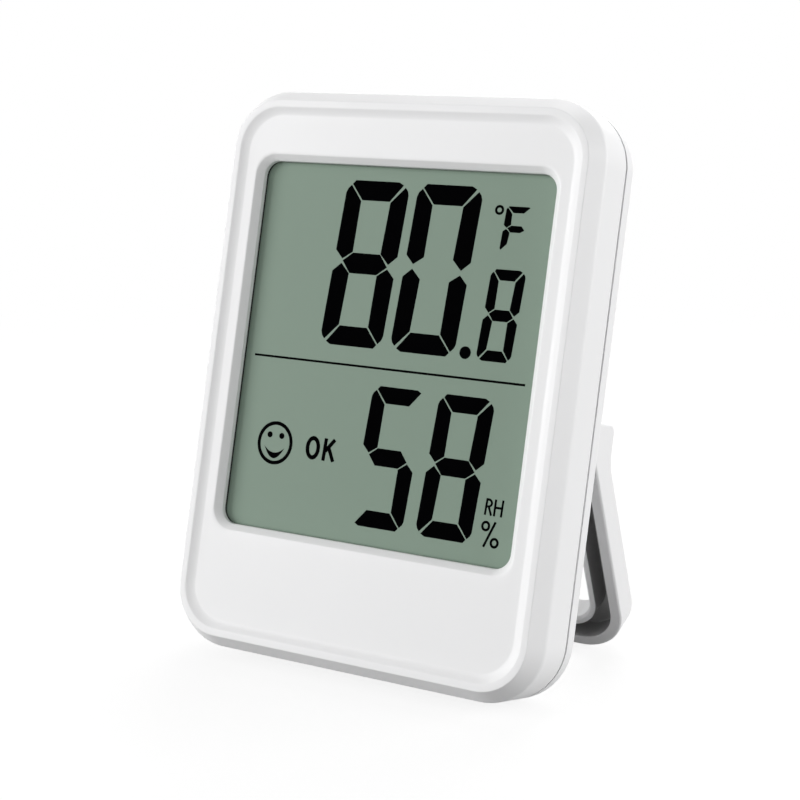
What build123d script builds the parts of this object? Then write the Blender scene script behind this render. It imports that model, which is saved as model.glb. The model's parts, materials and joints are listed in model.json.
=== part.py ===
from build123d import *
import math
import os

# Desk thermometer and hygrometer: a two-part moulded case with a large display, and a folding stand.
# The case leans back on its own rear edge and on the foot of the open stand.
# Every case size below is taken on the case itself: width is X, height runs up the face,
# and depth runs from the front rim to the back. The case is as deep as what it holds, 12 mm.

# Case outline
case_width = 59.0
case_height = 80.0
case_corner = 8.6
wall = 1.6
rear_edge_radius = 1.5
lean_angle = 14.2

# Front rim: a chamfer from the ridge in to a narrow land, then a shallow dish
ridge_depth = 2.4
rim_inset_side = 1.65
rim_inset_end = 1.65
rim_corner = 6.8
land_side = 0.90
land_end = 1.0
dish_slope_side = 1.25
dish_slope_end = 0.45
dish_depth = 0.55
dish_corner = 6.0
dish_foot_corner = 5.2

# Window: a bevel, then a straight wall down to the gasket
window_side_margin = 6.3
window_bottom = 17.67
window_top_margin = 10.16
window_corner = 2.25
bevel_side = 0.9
bevel_end = 0.9
bevel_corner = 3.1
bevel_foot_depth = 1.5
window_back_depth = 2.2

# Joint between the two halves of the case
rear_side_height = 3.4
groove_width = 0.35
groove_depth = 0.45
face_back_depth = 2.6
tongue_reach = 0.9
tongue_wall = 0.8
tongue_gap = 0.1

# Display stack, from the front
gasket_thickness = 0.4
gasket_width = 1.2
gasket_setback = 0.05
film_thickness = 0.2
glass_thickness = 1.1
glass_margin = 1.5
glass_bottom = 14.0
contact_ledge = 2.6
glass_gap = 0.15
film_inset = 0.4

# Display holder and rubber connector
holder_wall = 1.45
holder_end_wall = 0.5
holder_foot_wall = 1.15
holder_gap = 0.05
holder_ledge = 1.9
holder_floor = 1.1
connector_width = 1.8
connector_end_space = 3.9
connector_gap = 0.1

# Main board
board_back_space = 1.9
board_thickness = 1.0
board_side_space = 3.3
board_bottom = 8.2
board_tab_half_width = 15.5
board_top_space = 3.0
board_corner = 1.0
board_post_radius = 1.8
low_post_from_side = 8.2
low_post_from_end = 2.3
high_post_from_side = 3.5
high_post_from_end = 2.4
board_screw_radius = 0.6
board_screw_head_radius = 1.3
board_screw_head_height = 0.9
board_screw_length = 3.2
pilot_gap = 0.05
pilot_spare = 0.4
board_hole_gap = 0.2

# Case screws in wells at the four corners
case_screw_from_side = 6.6
case_screw_from_end = 5.6
boss_radius = 2.2
screw_radius = 0.85
screw_head_radius = 1.9
screw_head_height = 1.3
screw_length = 5.4
well_radius = 2.2
well_depth = 2.1
well_wall = 0.9
screw_pass_gap = 0.25

# Battery box on the back, for two small round cells side by side
cell_radius = 5.25
cell_length = 44.5
cell_nub_radius = 1.9
cell_nub_height = 1.2
cell_edge = 0.5
cell_spacing = 10.8
cell_side_gap = 0.45
cell_gap = 0.1
box_wall = 1.6
box_draft = 0.6
box_floor_wall = 1.2
box_bottom = 9.0
box_corner = 2.5
box_edge_radius = 1.0
contact_space = 2.0

# Battery door, which slides up in grooves of the box
door_gap = 0.1
door_thickness = 1.9
door_tongue_thickness = 0.95
door_tongue_reach = 0.9
door_grip_width = 12.0
door_grip_pitch = 1.8
door_grip_ribs = 5
door_grip_rib_width = 0.8
door_grip_depth = 0.5
door_grip_from_top = 10.0
door_edge_radius = 0.35

# Battery contacts, bent from strip
strip_thickness = 0.4
strip_width = 6.0
leaf_half_width = 3.4
leaf_crown_half_width = 0.9
plate_half_width = 3.0
tail_width = 1.6
tail_gap = 0.1

# Folding stand: a U of channel section on two pivot pins, opened by this angle from the case's back
stand_angle = 36.05
stand_inset = 1.8
leg_depth = 4.4
flange = 1.65
ring_wall = 1.1
ring_rise = 3.75
leg_width = 4.9
web = 0.8
stand_corner = 7.1
channel_corner = 5.45
ring_corner = 4.7
opening_corner = 3.6
channel_top_drop = 6.5
pivot_height = 36.85
pivot_to_front = 2.2
stand_gap = 0.3
stop_gap = 0.05
ear_top = 1.65
ear_back = 5.5
ear_bottom = 4.6
ear_corner = 1.5
knee_radius = 5.0
stand_edge_radius = 0.5
stand_bevel = 0.25
ring_bevel = 0.4
pin_radius = 1.1
pin_gap = 0.05
lug_wall = 2.3
lug_side_gap = 0.3
lug_radius = 2.6

# Hanging keyhole above the battery box
keyhole_space = 1.8
keyhole_radius = 3.5
keyhole_slot_radius = 1.7
keyhole_slot_rise = 5.6

# Unit button and its switch
button_from_top = 16.0
button_radius = 3.0
button_gap = 0.08
button_proud = 0.9
button_edge_radius = 0.4
button_flange_reach = 0.6
button_flange_thickness = 0.8
stem_radius = 1.2
switch_size = 4.5
switch_height = 1.2
plunger_radius = 1.2
plunger_gap = 0.08
plunger_proud = 0.4
plunger_floor_gap = 0.05
switch_floor = 0.3
button_travel = 0.5

# Vents over the sensors, beside the battery box and above the stand's pivot
vent_space = 0.8
vent_edge_space = 5.5
vent_above_pivot = 12.15
vent_pitch = 2.4
vent_count = 5
vent_width = 1.1

# Small parts on the board, placed by shares of the board's half width and of its height
blob_radius = 6.0
blob_height = 1.4
blob_shares = (-0.15, 0.40)
crystal_radius = 1.0
crystal_length = 6.0
crystal_shares = (0.69, 0.61)
sensor_size = 2.6
sensor_height = 0.9
sensor_window_radius = 0.6
sensor_window_depth = 0.3
bead_radius = 1.1
bead_stand_off = 0.9
lead_radius = 0.2
lead_pitch = 1.0
chip_length = 1.6
chip_width = 0.8
chip_height = 0.5
chip_pitch_side = 3.2
chip_pitch_up = 2.6
chip_columns = 3
chip_rows = 4
chip_shares = (0.69, 0.39)

# One overrun for every cut that starts clear of the solid
over = 1.0

# Worked-out places
half_width = case_width / 2
half_height = case_height / 2
window_width = case_width - 2 * window_side_margin
window_height = case_height - window_bottom - window_top_margin
window_middle = window_bottom + window_height / 2
cavity_corner = case_corner - wall
rear_inset = wall + tongue_gap + tongue_wall
glass_depth = window_back_depth + gasket_thickness + film_thickness
rear_glass_depth = glass_depth + glass_thickness
reflector_depth = rear_glass_depth + glass_thickness
ledge_depth = reflector_depth + film_thickness
glass_half_width = window_width / 2 + glass_margin
glass_top = window_bottom + window_height + glass_margin
rear_glass_bottom = glass_bottom + contact_ledge
connector_half_length = glass_half_width - connector_end_space
board_depth = ledge_depth + holder_floor
board_back_depth = board_depth + board_thickness
rear_inner_depth = board_back_depth + board_back_space + box_floor_wall
case_depth = rear_inner_depth + wall
parting_depth = case_depth - rear_side_height
well_floor_depth = case_depth - well_depth
board_half_width = half_width - board_side_space
board_top = glass_top + glass_gap + holder_end_wall
board_tab_top = case_height - board_top_space
cell_axis_depth = rear_inner_depth + cell_gap + cell_radius
door_depth = cell_axis_depth + cell_radius + cell_gap
total_depth = door_depth + door_thickness
box_half_inner = cell_spacing / 2 + cell_radius + cell_side_gap
box_half_outer = box_half_inner + door_tongue_reach + box_wall
chamber_bottom = box_bottom + box_wall
chamber_top = chamber_bottom + cell_length + 2 * contact_space
box_top = chamber_top + box_wall
box_half_base = box_half_outer + box_draft
cell_bottom = chamber_bottom + contact_space
left_cell = -cell_spacing / 2
right_cell = cell_spacing / 2
left_tail = left_cell
right_tail = right_cell + leaf_half_width + tail_width / 2
keyhole_height = box_top + box_draft + keyhole_space + keyhole_radius
button_side = (box_half_base + half_width - rear_inset) / 2
button_height = case_height - button_from_top
vent_inner_side = box_half_base + vent_space
vent_outer_side = half_width - vent_edge_space
vent_side = -(vent_inner_side + vent_outer_side) / 2
vent_first_height = pivot_height + vent_above_pivot
pivot_depth = case_depth + stand_gap + pivot_to_front
lean = math.radians(lean_angle)
leg_tilt = math.radians(stand_angle - lean_angle)
stand_half_width = half_width - stand_inset

# The case stands on its rounded rear bottom edge, so the face plane is lifted by what hangs below it.
lift = (case_depth - rear_edge_radius) * math.sin(lean) + rear_edge_radius * (1 - math.cos(lean))
pivot_above_floor = pivot_height * math.cos(lean) - pivot_depth * math.sin(lean) + lift

# The legs are as long as it takes for the bevelled front edge of the foot to meet the same floor.
bevel_to_pivot = pivot_to_front - stand_bevel
leg_length = (pivot_above_floor - bevel_to_pivot * math.sin(leg_tilt)) / math.cos(leg_tilt)

# The origin is below the middle of the whole depth, from the rim's bottom to the foot's rear edge.
front_reach = rim_inset_end * math.sin(lean)
pivot_reach = pivot_depth * math.cos(lean) + pivot_height * math.sin(lean)
foot_back = leg_depth - pivot_to_front - stand_edge_radius
foot_low = leg_length - stand_edge_radius
rear_reach = pivot_reach + foot_low * math.sin(leg_tilt) + foot_back * math.cos(leg_tilt) + stand_edge_radius
middle_depth = (front_reach + rear_reach) / 2

# The face plane lies on the front rim: local X is width, local Y is height, and depth is behind it.
face = Plane(
    origin=(0, -middle_depth, lift),
    x_dir=(1, 0, 0),
    z_dir=(0, -math.cos(lean), math.sin(lean)),
)


def at_depth(depth):
    """Plane parallel to the face: local X is width and local Y is height."""
    return face.offset(-depth)


def at_height(height):
    """Plane across the case: local X is width and local Y is depth."""
    return Plane(origin=face.from_local_coords((0, height, 0)), x_dir=(1, 0, 0), z_dir=face.y_dir)


def at_side(side):
    """Plane along the case, facing +X: local X is depth and local Y is height."""
    return Plane(origin=face.from_local_coords((side, 0, 0)), x_dir=-face.z_dir, z_dir=(1, 0, 0))


def case_outline(inset_side, inset_end, corner):
    """Rounded outline of the case, drawn in by an inset at the sides and at the ends."""
    with Locations((0, half_height)):
        RectangleRounded(case_width - 2 * inset_side, case_height - 2 * inset_end, corner)


def block(low_side, high_side, low_height, high_height):
    """Plain rectangle between two sides and two heights."""
    with Locations(((low_side + high_side) / 2, (low_height + high_height) / 2)):
        Rectangle(high_side - low_side, high_height - low_height)


def save(part, label):
    """Label a finished piece and write it."""
    part.label = label
    export_step(part, "parts/" + label + ".step")


def corner_places():
    """Places of the four case screws."""
    places = []
    side = half_width - case_screw_from_side
    for height in (case_screw_from_end, case_height - case_screw_from_end):
        places += [(-side, height), (side, height)]
    return places


def post_places():
    """Places of the four board posts: two at the board's foot and two on its upper tab."""
    low_side = board_half_width - low_post_from_side
    low_height = board_bottom + low_post_from_end
    high_side = board_tab_half_width - high_post_from_side
    high_height = board_tab_top - high_post_from_end
    places = [(-low_side, low_height), (low_side, low_height)]
    return places + [(-high_side, high_height), (high_side, high_height)]


def on_board(shares):
    """Place on the board, from shares of its half width and of its height."""
    return (shares[0] * board_half_width, board_bottom + shares[1] * (board_top - board_bottom))


os.makedirs("parts", exist_ok=True)

# Front casing: rim, dish, window and inner posts
with BuildPart() as front_casing:
    with BuildSketch(face):
        case_outline(rim_inset_side, rim_inset_end, rim_corner)
    with BuildSketch(at_depth(ridge_depth)):
        case_outline(0, 0, case_corner)
    loft(ruled=True)
    with BuildSketch(at_depth(ridge_depth)):
        case_outline(0, 0, case_corner)
    extrude(amount=-(parting_depth - ridge_depth))
    with BuildSketch(face):
        case_outline(rim_inset_side + land_side, rim_inset_end + land_end, dish_corner)
    with BuildSketch(at_depth(dish_depth)):
        dish_side = rim_inset_side + land_side + dish_slope_side
        dish_end = rim_inset_end + land_end + dish_slope_end
        case_outline(dish_side, dish_end, dish_foot_corner)
    loft(ruled=True, mode=Mode.SUBTRACT)
    with BuildSketch(at_depth(dish_depth)):
        with Locations((0, window_middle)):
            RectangleRounded(window_width + 2 * bevel_side, window_height + 2 * bevel_end, bevel_corner)
    with BuildSketch(at_depth(bevel_foot_depth)):
        with Locations((0, window_middle)):
            RectangleRounded(window_width, window_height, window_corner)
    loft(ruled=True, mode=Mode.SUBTRACT)
    with BuildSketch(at_depth(bevel_foot_depth)):
        with Locations((0, window_middle)):
            RectangleRounded(window_width, window_height, window_corner)
    extrude(amount=-(face_back_depth - bevel_foot_depth), mode=Mode.SUBTRACT)
    with BuildSketch(at_depth(face_back_depth)):
        case_outline(wall, wall, cavity_corner)
    extrude(amount=-(parting_depth - face_back_depth), mode=Mode.SUBTRACT)
    with BuildSketch(at_depth(window_back_depth)):
        pocket = glass_half_width + glass_gap
        block(-pocket, pocket, glass_bottom - glass_gap, glass_top + glass_gap)
    extrude(amount=-(face_back_depth - window_back_depth), mode=Mode.SUBTRACT)
    with BuildSketch(at_depth(face_back_depth)):
        with Locations(*corner_places()):
            Circle(boss_radius)
    extrude(amount=-(parting_depth - face_back_depth))
    with BuildSketch(at_depth(parting_depth)):
        with Locations(*corner_places()):
            Circle(screw_radius + pilot_gap)
    extrude(amount=screw_length - (well_floor_depth - parting_depth) + pilot_spare, mode=Mode.SUBTRACT)
    with BuildSketch(at_depth(face_back_depth)):
        with Locations(*post_places()):
            Circle(board_post_radius)
    extrude(amount=-(board_depth - face_back_depth))
    with BuildSketch(at_depth(board_depth)):
        with Locations(*post_places()):
            Circle(board_screw_radius + pilot_gap)
    extrude(amount=board_screw_length - board_thickness + pilot_spare, mode=Mode.SUBTRACT)
save(front_casing.part, "front_casing")

# Foam gasket between the window and the display
with BuildPart() as display_gasket:
    with BuildSketch(at_depth(window_back_depth)):
        with Locations((0, window_middle)):
            gasket_side = window_width + 2 * gasket_setback
            gasket_end = window_height + 2 * gasket_setback
            RectangleRounded(gasket_side + 2 * gasket_width, gasket_end + 2 * gasket_width, window_corner)
            RectangleRounded(gasket_side, gasket_end, window_corner, mode=Mode.SUBTRACT)
    extrude(amount=-gasket_thickness)
save(display_gasket.part, "display_gasket")


def display_layer(depth, thickness, inset, bottom):
    """One flat sheet of the display, from a depth backwards."""
    with BuildPart() as layer:
        with BuildSketch(at_depth(depth)):
            side = glass_half_width - inset
            block(-side, side, bottom + inset, glass_top - inset)
        extrude(amount=-thickness)
    return layer.part


# Display: front polarizer, front glass with its contact ledge, rear glass and reflector
save(display_layer(glass_depth - film_thickness, film_thickness, film_inset / 2, rear_glass_bottom),
     "lcd_front_polarizer")
save(display_layer(glass_depth, glass_thickness, 0, glass_bottom), "lcd_front_glass")
save(display_layer(rear_glass_depth, glass_thickness, 0, rear_glass_bottom), "lcd_rear_glass")
save(display_layer(reflector_depth, film_thickness, film_inset, rear_glass_bottom), "lcd_reflector")

# Holder that presses the display forward and guides the rubber connector
connector_middle = glass_bottom + contact_ledge / 2
with BuildPart() as lcd_holder:
    with BuildSketch(at_depth(face_back_depth + holder_gap)):
        holder_side = glass_half_width + glass_gap + holder_wall
        block(-holder_side, holder_side, glass_bottom - glass_gap - holder_foot_wall, board_top)
    extrude(amount=-(board_depth - face_back_depth - holder_gap))
    with BuildSketch(at_depth(face_back_depth)):
        block(-pocket, pocket, glass_bottom - glass_gap, glass_top + glass_gap)
    extrude(amount=-(ledge_depth - face_back_depth), mode=Mode.SUBTRACT)
    with BuildSketch(at_depth(ledge_depth)):
        inner_side = glass_half_width - holder_ledge
        block(-inner_side, inner_side, rear_glass_bottom + holder_ledge, glass_top - holder_ledge)
        slot_side = connector_half_length + connector_gap
        slot_half = connector_width / 2 + connector_gap
        block(-slot_side, slot_side, connector_middle - slot_half, connector_middle + slot_half)
    extrude(amount=-(board_depth - ledge_depth), mode=Mode.SUBTRACT)
save(lcd_holder.part, "lcd_holder")

# Striped rubber connector from the glass ledge to the board
with BuildPart() as rubber_connector:
    with BuildSketch(at_depth(rear_glass_depth)):
        with Locations((0, connector_middle)):
            Rectangle(2 * connector_half_length, connector_width)
    extrude(amount=-(board_depth - rear_glass_depth))
save(rubber_connector.part, "rubber_connector")

# Main board with its upper tab
with BuildPart() as main_board:
    with BuildSketch(at_depth(board_depth)):
        block(-board_half_width, board_half_width, board_bottom, board_top)
        block(-board_tab_half_width, board_tab_half_width, board_top, board_tab_top)
    extrude(amount=-board_thickness)
    fillet(main_board.edges().filter_by(Axis(face.origin, face.z_dir)), board_corner)
    with BuildSketch(at_depth(board_depth)):
        with Locations(*post_places()):
            Circle(board_screw_radius + board_hole_gap)
    extrude(amount=-board_thickness, mode=Mode.SUBTRACT)
save(main_board.part, "main_board")


def screws(places, head_depth, head_radius, head_height, radius, length):
    """Group of pan-head screws whose heads sit at one depth."""
    with BuildPart() as group:
        with BuildSketch(at_depth(head_depth)):
            with Locations(*places):
                Circle(head_radius)
        extrude(amount=-head_height)
        fillet(group.faces().filter_by(face).sort_by(Axis(face.origin, -face.z_dir))[-len(places):].edges(),
               head_height / 2)
        with BuildSketch(at_depth(head_depth)):
            with Locations(*places):
                Circle(radius)
        extrude(amount=length)
        point = group.faces().filter_by(face).sort_by(Axis(face.origin, -face.z_dir))[:len(places)]
        chamfer(point.edges(), radius / 2)
    return group.part


save(screws(post_places(), board_back_depth, board_screw_head_radius, board_screw_head_height,
            board_screw_radius, board_screw_length), "board_screws")
save(screws(corner_places(), well_floor_depth, screw_head_radius, screw_head_height,
            screw_radius, screw_length), "case_screws")

# Controller under a drop of black resin
with BuildPart() as controller_blob:
    with BuildSketch(at_depth(board_back_depth)):
        with Locations(on_board(blob_shares)):
            Circle(blob_radius)
    extrude(amount=-blob_height)
    blob_top = controller_blob.faces().sort_by(Axis(face.origin, -face.z_dir))[-1]
    fillet(blob_top.edges(), blob_height * 3 / 4)
save(controller_blob.part, "controller_blob")

# Watch crystal lying on the board
with BuildPart() as watch_crystal:
    crystal_side, crystal_height = on_board(crystal_shares)
    with BuildSketch(at_height(crystal_height)):
        with Locations((crystal_side, board_back_depth + crystal_radius)):
            Circle(crystal_radius)
    extrude(amount=crystal_length)
    fillet(watch_crystal.faces().sort_by(Axis(face.origin, face.y_dir))[-1].edges(), crystal_radius / 3)
save(watch_crystal.part, "watch_crystal")

# Small resistors and capacitors
with BuildPart() as chip_components:
    with BuildSketch(at_depth(board_back_depth)):
        with Locations(on_board(chip_shares)):
            with GridLocations(chip_pitch_side, chip_pitch_up, chip_columns, chip_rows):
                Rectangle(chip_length, chip_width)
    extrude(amount=-chip_height)
save(chip_components.part, "chip_components")

# Humidity sensor behind the middle vent, with its small sensing window
vent_middle = vent_first_height + vent_pitch * (vent_count - 1) / 2
with BuildPart() as humidity_sensor:
    with BuildSketch(at_depth(board_back_depth)):
        with Locations((vent_side, vent_middle)):
            Rectangle(sensor_size, sensor_size)
    extrude(amount=-sensor_height)
    with BuildSketch(at_depth(board_back_depth + sensor_height)):
        with Locations((vent_side, vent_middle)):
            Circle(sensor_window_radius)
    extrude(amount=sensor_window_depth, mode=Mode.SUBTRACT)
save(humidity_sensor.part, "humidity_sensor")

# Thermistor bead on two leads below the humidity sensor
bead_height = vent_middle - vent_pitch * vent_count / 2
with BuildPart() as thermistor:
    with BuildSketch(at_depth(board_back_depth)):
        with Locations((vent_side - lead_pitch / 2, bead_height), (vent_side + lead_pitch / 2, bead_height)):
            Circle(lead_radius)
    extrude(amount=-(bead_stand_off + bead_radius))
    bead_depth = board_back_depth + bead_stand_off + bead_radius
    with Locations(at_depth(bead_depth).from_local_coords((vent_side, bead_height, 0))):
        Sphere(bead_radius)
save(thermistor.part, "thermistor")

# Unit switch on the board
with BuildPart() as unit_switch:
    with BuildSketch(at_depth(board_back_depth)):
        with Locations((button_side, button_height)):
            Rectangle(switch_size, switch_size)
    extrude(amount=-switch_height)
    with BuildSketch(at_depth(board_back_depth + switch_floor)):
        with Locations((button_side, button_height)):
            Circle(plunger_radius + plunger_gap)
    extrude(amount=-switch_height, mode=Mode.SUBTRACT)
save(unit_switch.part, "unit_switch")

# Plunger of the switch, with room below it for the button's travel
plunger_top_depth = board_back_depth + switch_height + plunger_proud
plunger_length = switch_height + plunger_proud - switch_floor - button_travel - plunger_floor_gap
with BuildPart() as switch_plunger:
    with BuildSketch(at_depth(plunger_top_depth)):
        with Locations((button_side, button_height)):
            Circle(plunger_radius)
    extrude(amount=plunger_length)
save(switch_plunger.part, "switch_plunger")

# Unit button: stem on the plunger, flange behind the rear wall and a rounded cap
with BuildPart() as unit_button:
    with BuildSketch(at_depth(plunger_top_depth)):
        with Locations((button_side, button_height)):
            Circle(stem_radius)
    extrude(amount=-(rear_inner_depth - plunger_top_depth))
    with BuildSketch(at_depth(rear_inner_depth - button_flange_thickness - button_gap)):
        with Locations((button_side, button_height)):
            Circle(button_radius + button_flange_reach)
    extrude(amount=-button_flange_thickness)
    with BuildSketch(at_depth(rear_inner_depth - button_gap)):
        with Locations((button_side, button_height)):
            Circle(button_radius)
    extrude(amount=-(wall + button_gap + button_proud))
    fillet(unit_button.faces().sort_by(Axis(face.origin, -face.z_dir))[-1].edges(), button_edge_radius)
save(unit_button.part, "unit_button")

# Rear cover: shell, screw wells, battery box with door grooves, hinge lugs, vents and hanging keyhole
lug_outer = stand_half_width - leg_width - lug_side_gap
with BuildPart() as rear_cover:
    with BuildSketch(at_depth(parting_depth)):
        case_outline(0, 0, case_corner)
    extrude(amount=-(case_depth - parting_depth))
    fillet(rear_cover.faces().sort_by(Axis(face.origin, -face.z_dir))[-1].edges(), rear_edge_radius)
    with BuildSketch(at_depth(parting_depth - tongue_reach)):
        case_outline(wall + tongue_gap, wall + tongue_gap, cavity_corner - tongue_gap)
    extrude(amount=-tongue_reach)
    with BuildSketch(at_depth(parting_depth)):
        case_outline(0, 0, case_corner)
        with Locations((0, half_height)):
            RectangleRounded(case_width - 2 * groove_depth, case_height - 2 * groove_depth,
                             case_corner - groove_depth, mode=Mode.SUBTRACT)
    extrude(amount=-groove_width, mode=Mode.SUBTRACT)
    with BuildSketch(at_depth(parting_depth - tongue_reach)):
        case_outline(rear_inset, rear_inset, case_corner - rear_inset)
    extrude(amount=-(rear_inner_depth - parting_depth + tongue_reach), mode=Mode.SUBTRACT)
    with BuildSketch(at_depth(parting_depth)):
        with Locations(*corner_places()):
            Circle(well_radius + well_wall)
    extrude(amount=-(case_depth - parting_depth - wall / 2))
    with BuildSketch(at_depth(case_depth)):
        box_middle = (box_bottom + box_top) / 2
        with Locations((0, box_middle)):
            RectangleRounded(2 * box_half_base, box_top - box_bottom + 2 * box_draft, box_corner + box_draft)
    with BuildSketch(at_depth(total_depth)):
        with Locations((0, box_middle)):
            RectangleRounded(2 * box_half_outer, box_top - box_bottom, box_corner)
    loft(ruled=True)
    fillet(rear_cover.faces().sort_by(Axis(face.origin, -face.z_dir))[-1].edges(), box_edge_radius)
    with BuildSketch(at_depth(rear_inner_depth - box_floor_wall)):
        floor_side = box_half_inner + box_floor_wall
        block(-floor_side, floor_side, chamber_bottom - box_floor_wall, chamber_top + box_floor_wall)
    extrude(amount=-(box_floor_wall + wall))
    with BuildSketch(at_depth(rear_inner_depth)):
        block(-box_half_inner, box_half_inner, chamber_bottom, chamber_top)
    extrude(amount=-(total_depth - rear_inner_depth), mode=Mode.SUBTRACT)
    door_slot_top = box_top + box_draft + over
    with BuildSketch(at_depth(door_depth - door_gap)):
        groove_side = box_half_inner + door_tongue_reach
        block(-groove_side, groove_side, chamber_bottom, door_slot_top)
    extrude(amount=-(door_tongue_thickness + 2 * door_gap), mode=Mode.SUBTRACT)
    with BuildSketch(at_depth(door_depth)):
        block(-box_half_inner, box_half_inner, chamber_bottom, door_slot_top)
    extrude(amount=-(total_depth - door_depth + over), mode=Mode.SUBTRACT)
    for hand in (-1, 1):
        with BuildSketch(at_side(hand * (lug_outer - lug_wall / 2))):
            block(case_depth - wall / 2, pivot_depth, pivot_height - lug_radius, pivot_height + lug_radius)
            with Locations((pivot_depth, pivot_height)):
                Circle(lug_radius)
        extrude(amount=lug_wall / 2, both=True)
        with BuildSketch(at_side(hand * (lug_outer - lug_wall / 2))):
            with Locations((pivot_depth, pivot_height)):
                Circle(pin_radius + pin_gap)
        extrude(amount=lug_wall / 2 + lug_side_gap / 2, both=True, mode=Mode.SUBTRACT)
    with BuildSketch(at_depth(case_depth)):
        with Locations(*corner_places()):
            Circle(well_radius)
    extrude(amount=case_depth - well_floor_depth, mode=Mode.SUBTRACT)
    with BuildSketch(at_depth(well_floor_depth)):
        with Locations(*corner_places()):
            Circle(screw_radius + screw_pass_gap)
    extrude(amount=well_floor_depth - parting_depth + over, mode=Mode.SUBTRACT)
    with BuildSketch(at_depth(case_depth)):
        for number in range(vent_count):
            with Locations((vent_side, vent_first_height + number * vent_pitch)):
                SlotOverall(vent_outer_side - vent_inner_side, vent_width)
        with Locations((0, keyhole_height)):
            Circle(keyhole_radius)
        with Locations((0, keyhole_height + keyhole_slot_rise / 2)):
            SlotOverall(keyhole_slot_rise + 2 * keyhole_slot_radius, 2 * keyhole_slot_radius, rotation=90)
        with Locations((button_side, button_height)):
            Circle(button_radius + button_gap)
    extrude(amount=wall, mode=Mode.SUBTRACT)
    with BuildSketch(at_depth(rear_inner_depth)):
        for tail in (left_tail, right_tail):
            with Locations((tail, chamber_top - strip_thickness / 2)):
                Rectangle(tail_width + 2 * tail_gap, strip_thickness + 2 * tail_gap)
    extrude(amount=box_floor_wall, mode=Mode.SUBTRACT)
save(rear_cover.part, "rear_cover")

# Battery door: face plate between the walls, tongues in the grooves and a ribbed thumb grip
with BuildPart() as battery_door:
    with BuildSketch(at_depth(door_depth)):
        tongue_side = box_half_inner + door_tongue_reach - door_gap
        block(-tongue_side, tongue_side, chamber_bottom + door_gap, box_top)
    extrude(amount=-door_tongue_thickness)
    with BuildSketch(at_depth(door_depth + door_tongue_thickness)):
        plate_side = box_half_inner - door_gap
        block(-plate_side, plate_side, chamber_bottom + door_gap, box_top)
    extrude(amount=-(total_depth - door_depth - door_tongue_thickness))
    door_face = battery_door.faces().sort_by(Axis(face.origin, -face.z_dir))[-1]
    fillet(door_face.edges(), door_edge_radius)
    grip_height = box_top - door_grip_from_top
    grip_span = door_grip_pitch * door_grip_ribs
    with BuildSketch(at_depth(total_depth)):
        with Locations((0, grip_height)):
            SlotOverall(door_grip_width + grip_span, grip_span)
    extrude(amount=door_grip_depth, mode=Mode.SUBTRACT)
    with BuildSketch(at_depth(total_depth - door_grip_depth)):
        with Locations((0, grip_height)):
            with GridLocations(0, door_grip_pitch, 1, door_grip_ribs):
                Rectangle(door_grip_width, door_grip_rib_width)
    extrude(amount=-door_grip_depth)
save(battery_door.part, "battery_door")


def cell(side, upright):
    """Small round cell along the case's height, with its raised pole at the top when upright."""
    base = cell_bottom if upright else cell_bottom + cell_length
    turn = 1 if upright else -1
    body = turn * (cell_length - cell_nub_height)
    with BuildPart() as battery:
        with BuildSketch(Plane(origin=at_height(base).from_local_coords((side, cell_axis_depth, 0)),
                               x_dir=(1, 0, 0), z_dir=face.z_dir)):
            with BuildLine():
                Polyline((0, 0), (cell_radius - cell_edge, 0), (cell_radius, turn * cell_edge),
                         (cell_radius, body - turn * cell_edge), (cell_radius - cell_edge, body),
                         (cell_nub_radius, body), (cell_nub_radius, turn * cell_length),
                         (0, turn * cell_length), close=True)
            make_face()
        revolve(axis=Axis(at_height(base).from_local_coords((side, cell_axis_depth, 0)), face.y_dir))
    return battery.part


save(cell(left_cell, True), "battery_left")
save(cell(right_cell, False), "battery_right")

# Battery contacts: strips seen along the depth, on a plane through the cells' axes
contact_plane = at_depth(cell_axis_depth)


def leaf_points(side, base, rise):
    """Arched leaf that presses on a flat cell end: it starts and ends on the chamber's end wall."""
    return [
        (side - leaf_half_width, base),
        (side - leaf_crown_half_width, base + rise),
        (side + leaf_crown_half_width, base + rise),
        (side + leaf_half_width, base),
    ]


def bent_strip(points):
    """Outline of a strip that lies on the left of a bent line."""
    with BuildLine() as strip:
        Polyline(*points)
        offset(amount=strip_thickness, side=Side.LEFT, kind=Kind.INTERSECTION)
    make_face(strip.edges())


leaf_rise = contact_space - strip_thickness
with BuildPart() as contact_bridge:
    with BuildSketch(contact_plane):
        outer_end = [(left_cell - leaf_half_width - strip_thickness, chamber_bottom)]
        bridge = outer_end + leaf_points(left_cell, chamber_bottom, leaf_rise)
        joggle = right_cell - plate_half_width
        bridge += [
            (joggle - leaf_rise, chamber_bottom),
            (joggle, chamber_bottom + leaf_rise),
            (right_cell + plate_half_width, chamber_bottom + leaf_rise),
            (right_cell + plate_half_width, chamber_bottom),
        ]
        bent_strip(bridge)
    extrude(amount=strip_width / 2, both=True)
save(contact_bridge.part, "contact_bridge")


def upper_contact(points, side):
    """Upper contact with a tail through the box floor to the board."""
    with BuildPart() as contact:
        with BuildSketch(contact_plane):
            bent_strip(points)
        extrude(amount=strip_width / 2, both=True)
        with BuildSketch(contact_plane):
            with Locations((side, chamber_top - strip_thickness / 2)):
                Rectangle(tail_width, strip_thickness)
        extrude(amount=cell_axis_depth - board_back_depth)
    return contact.part


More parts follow.
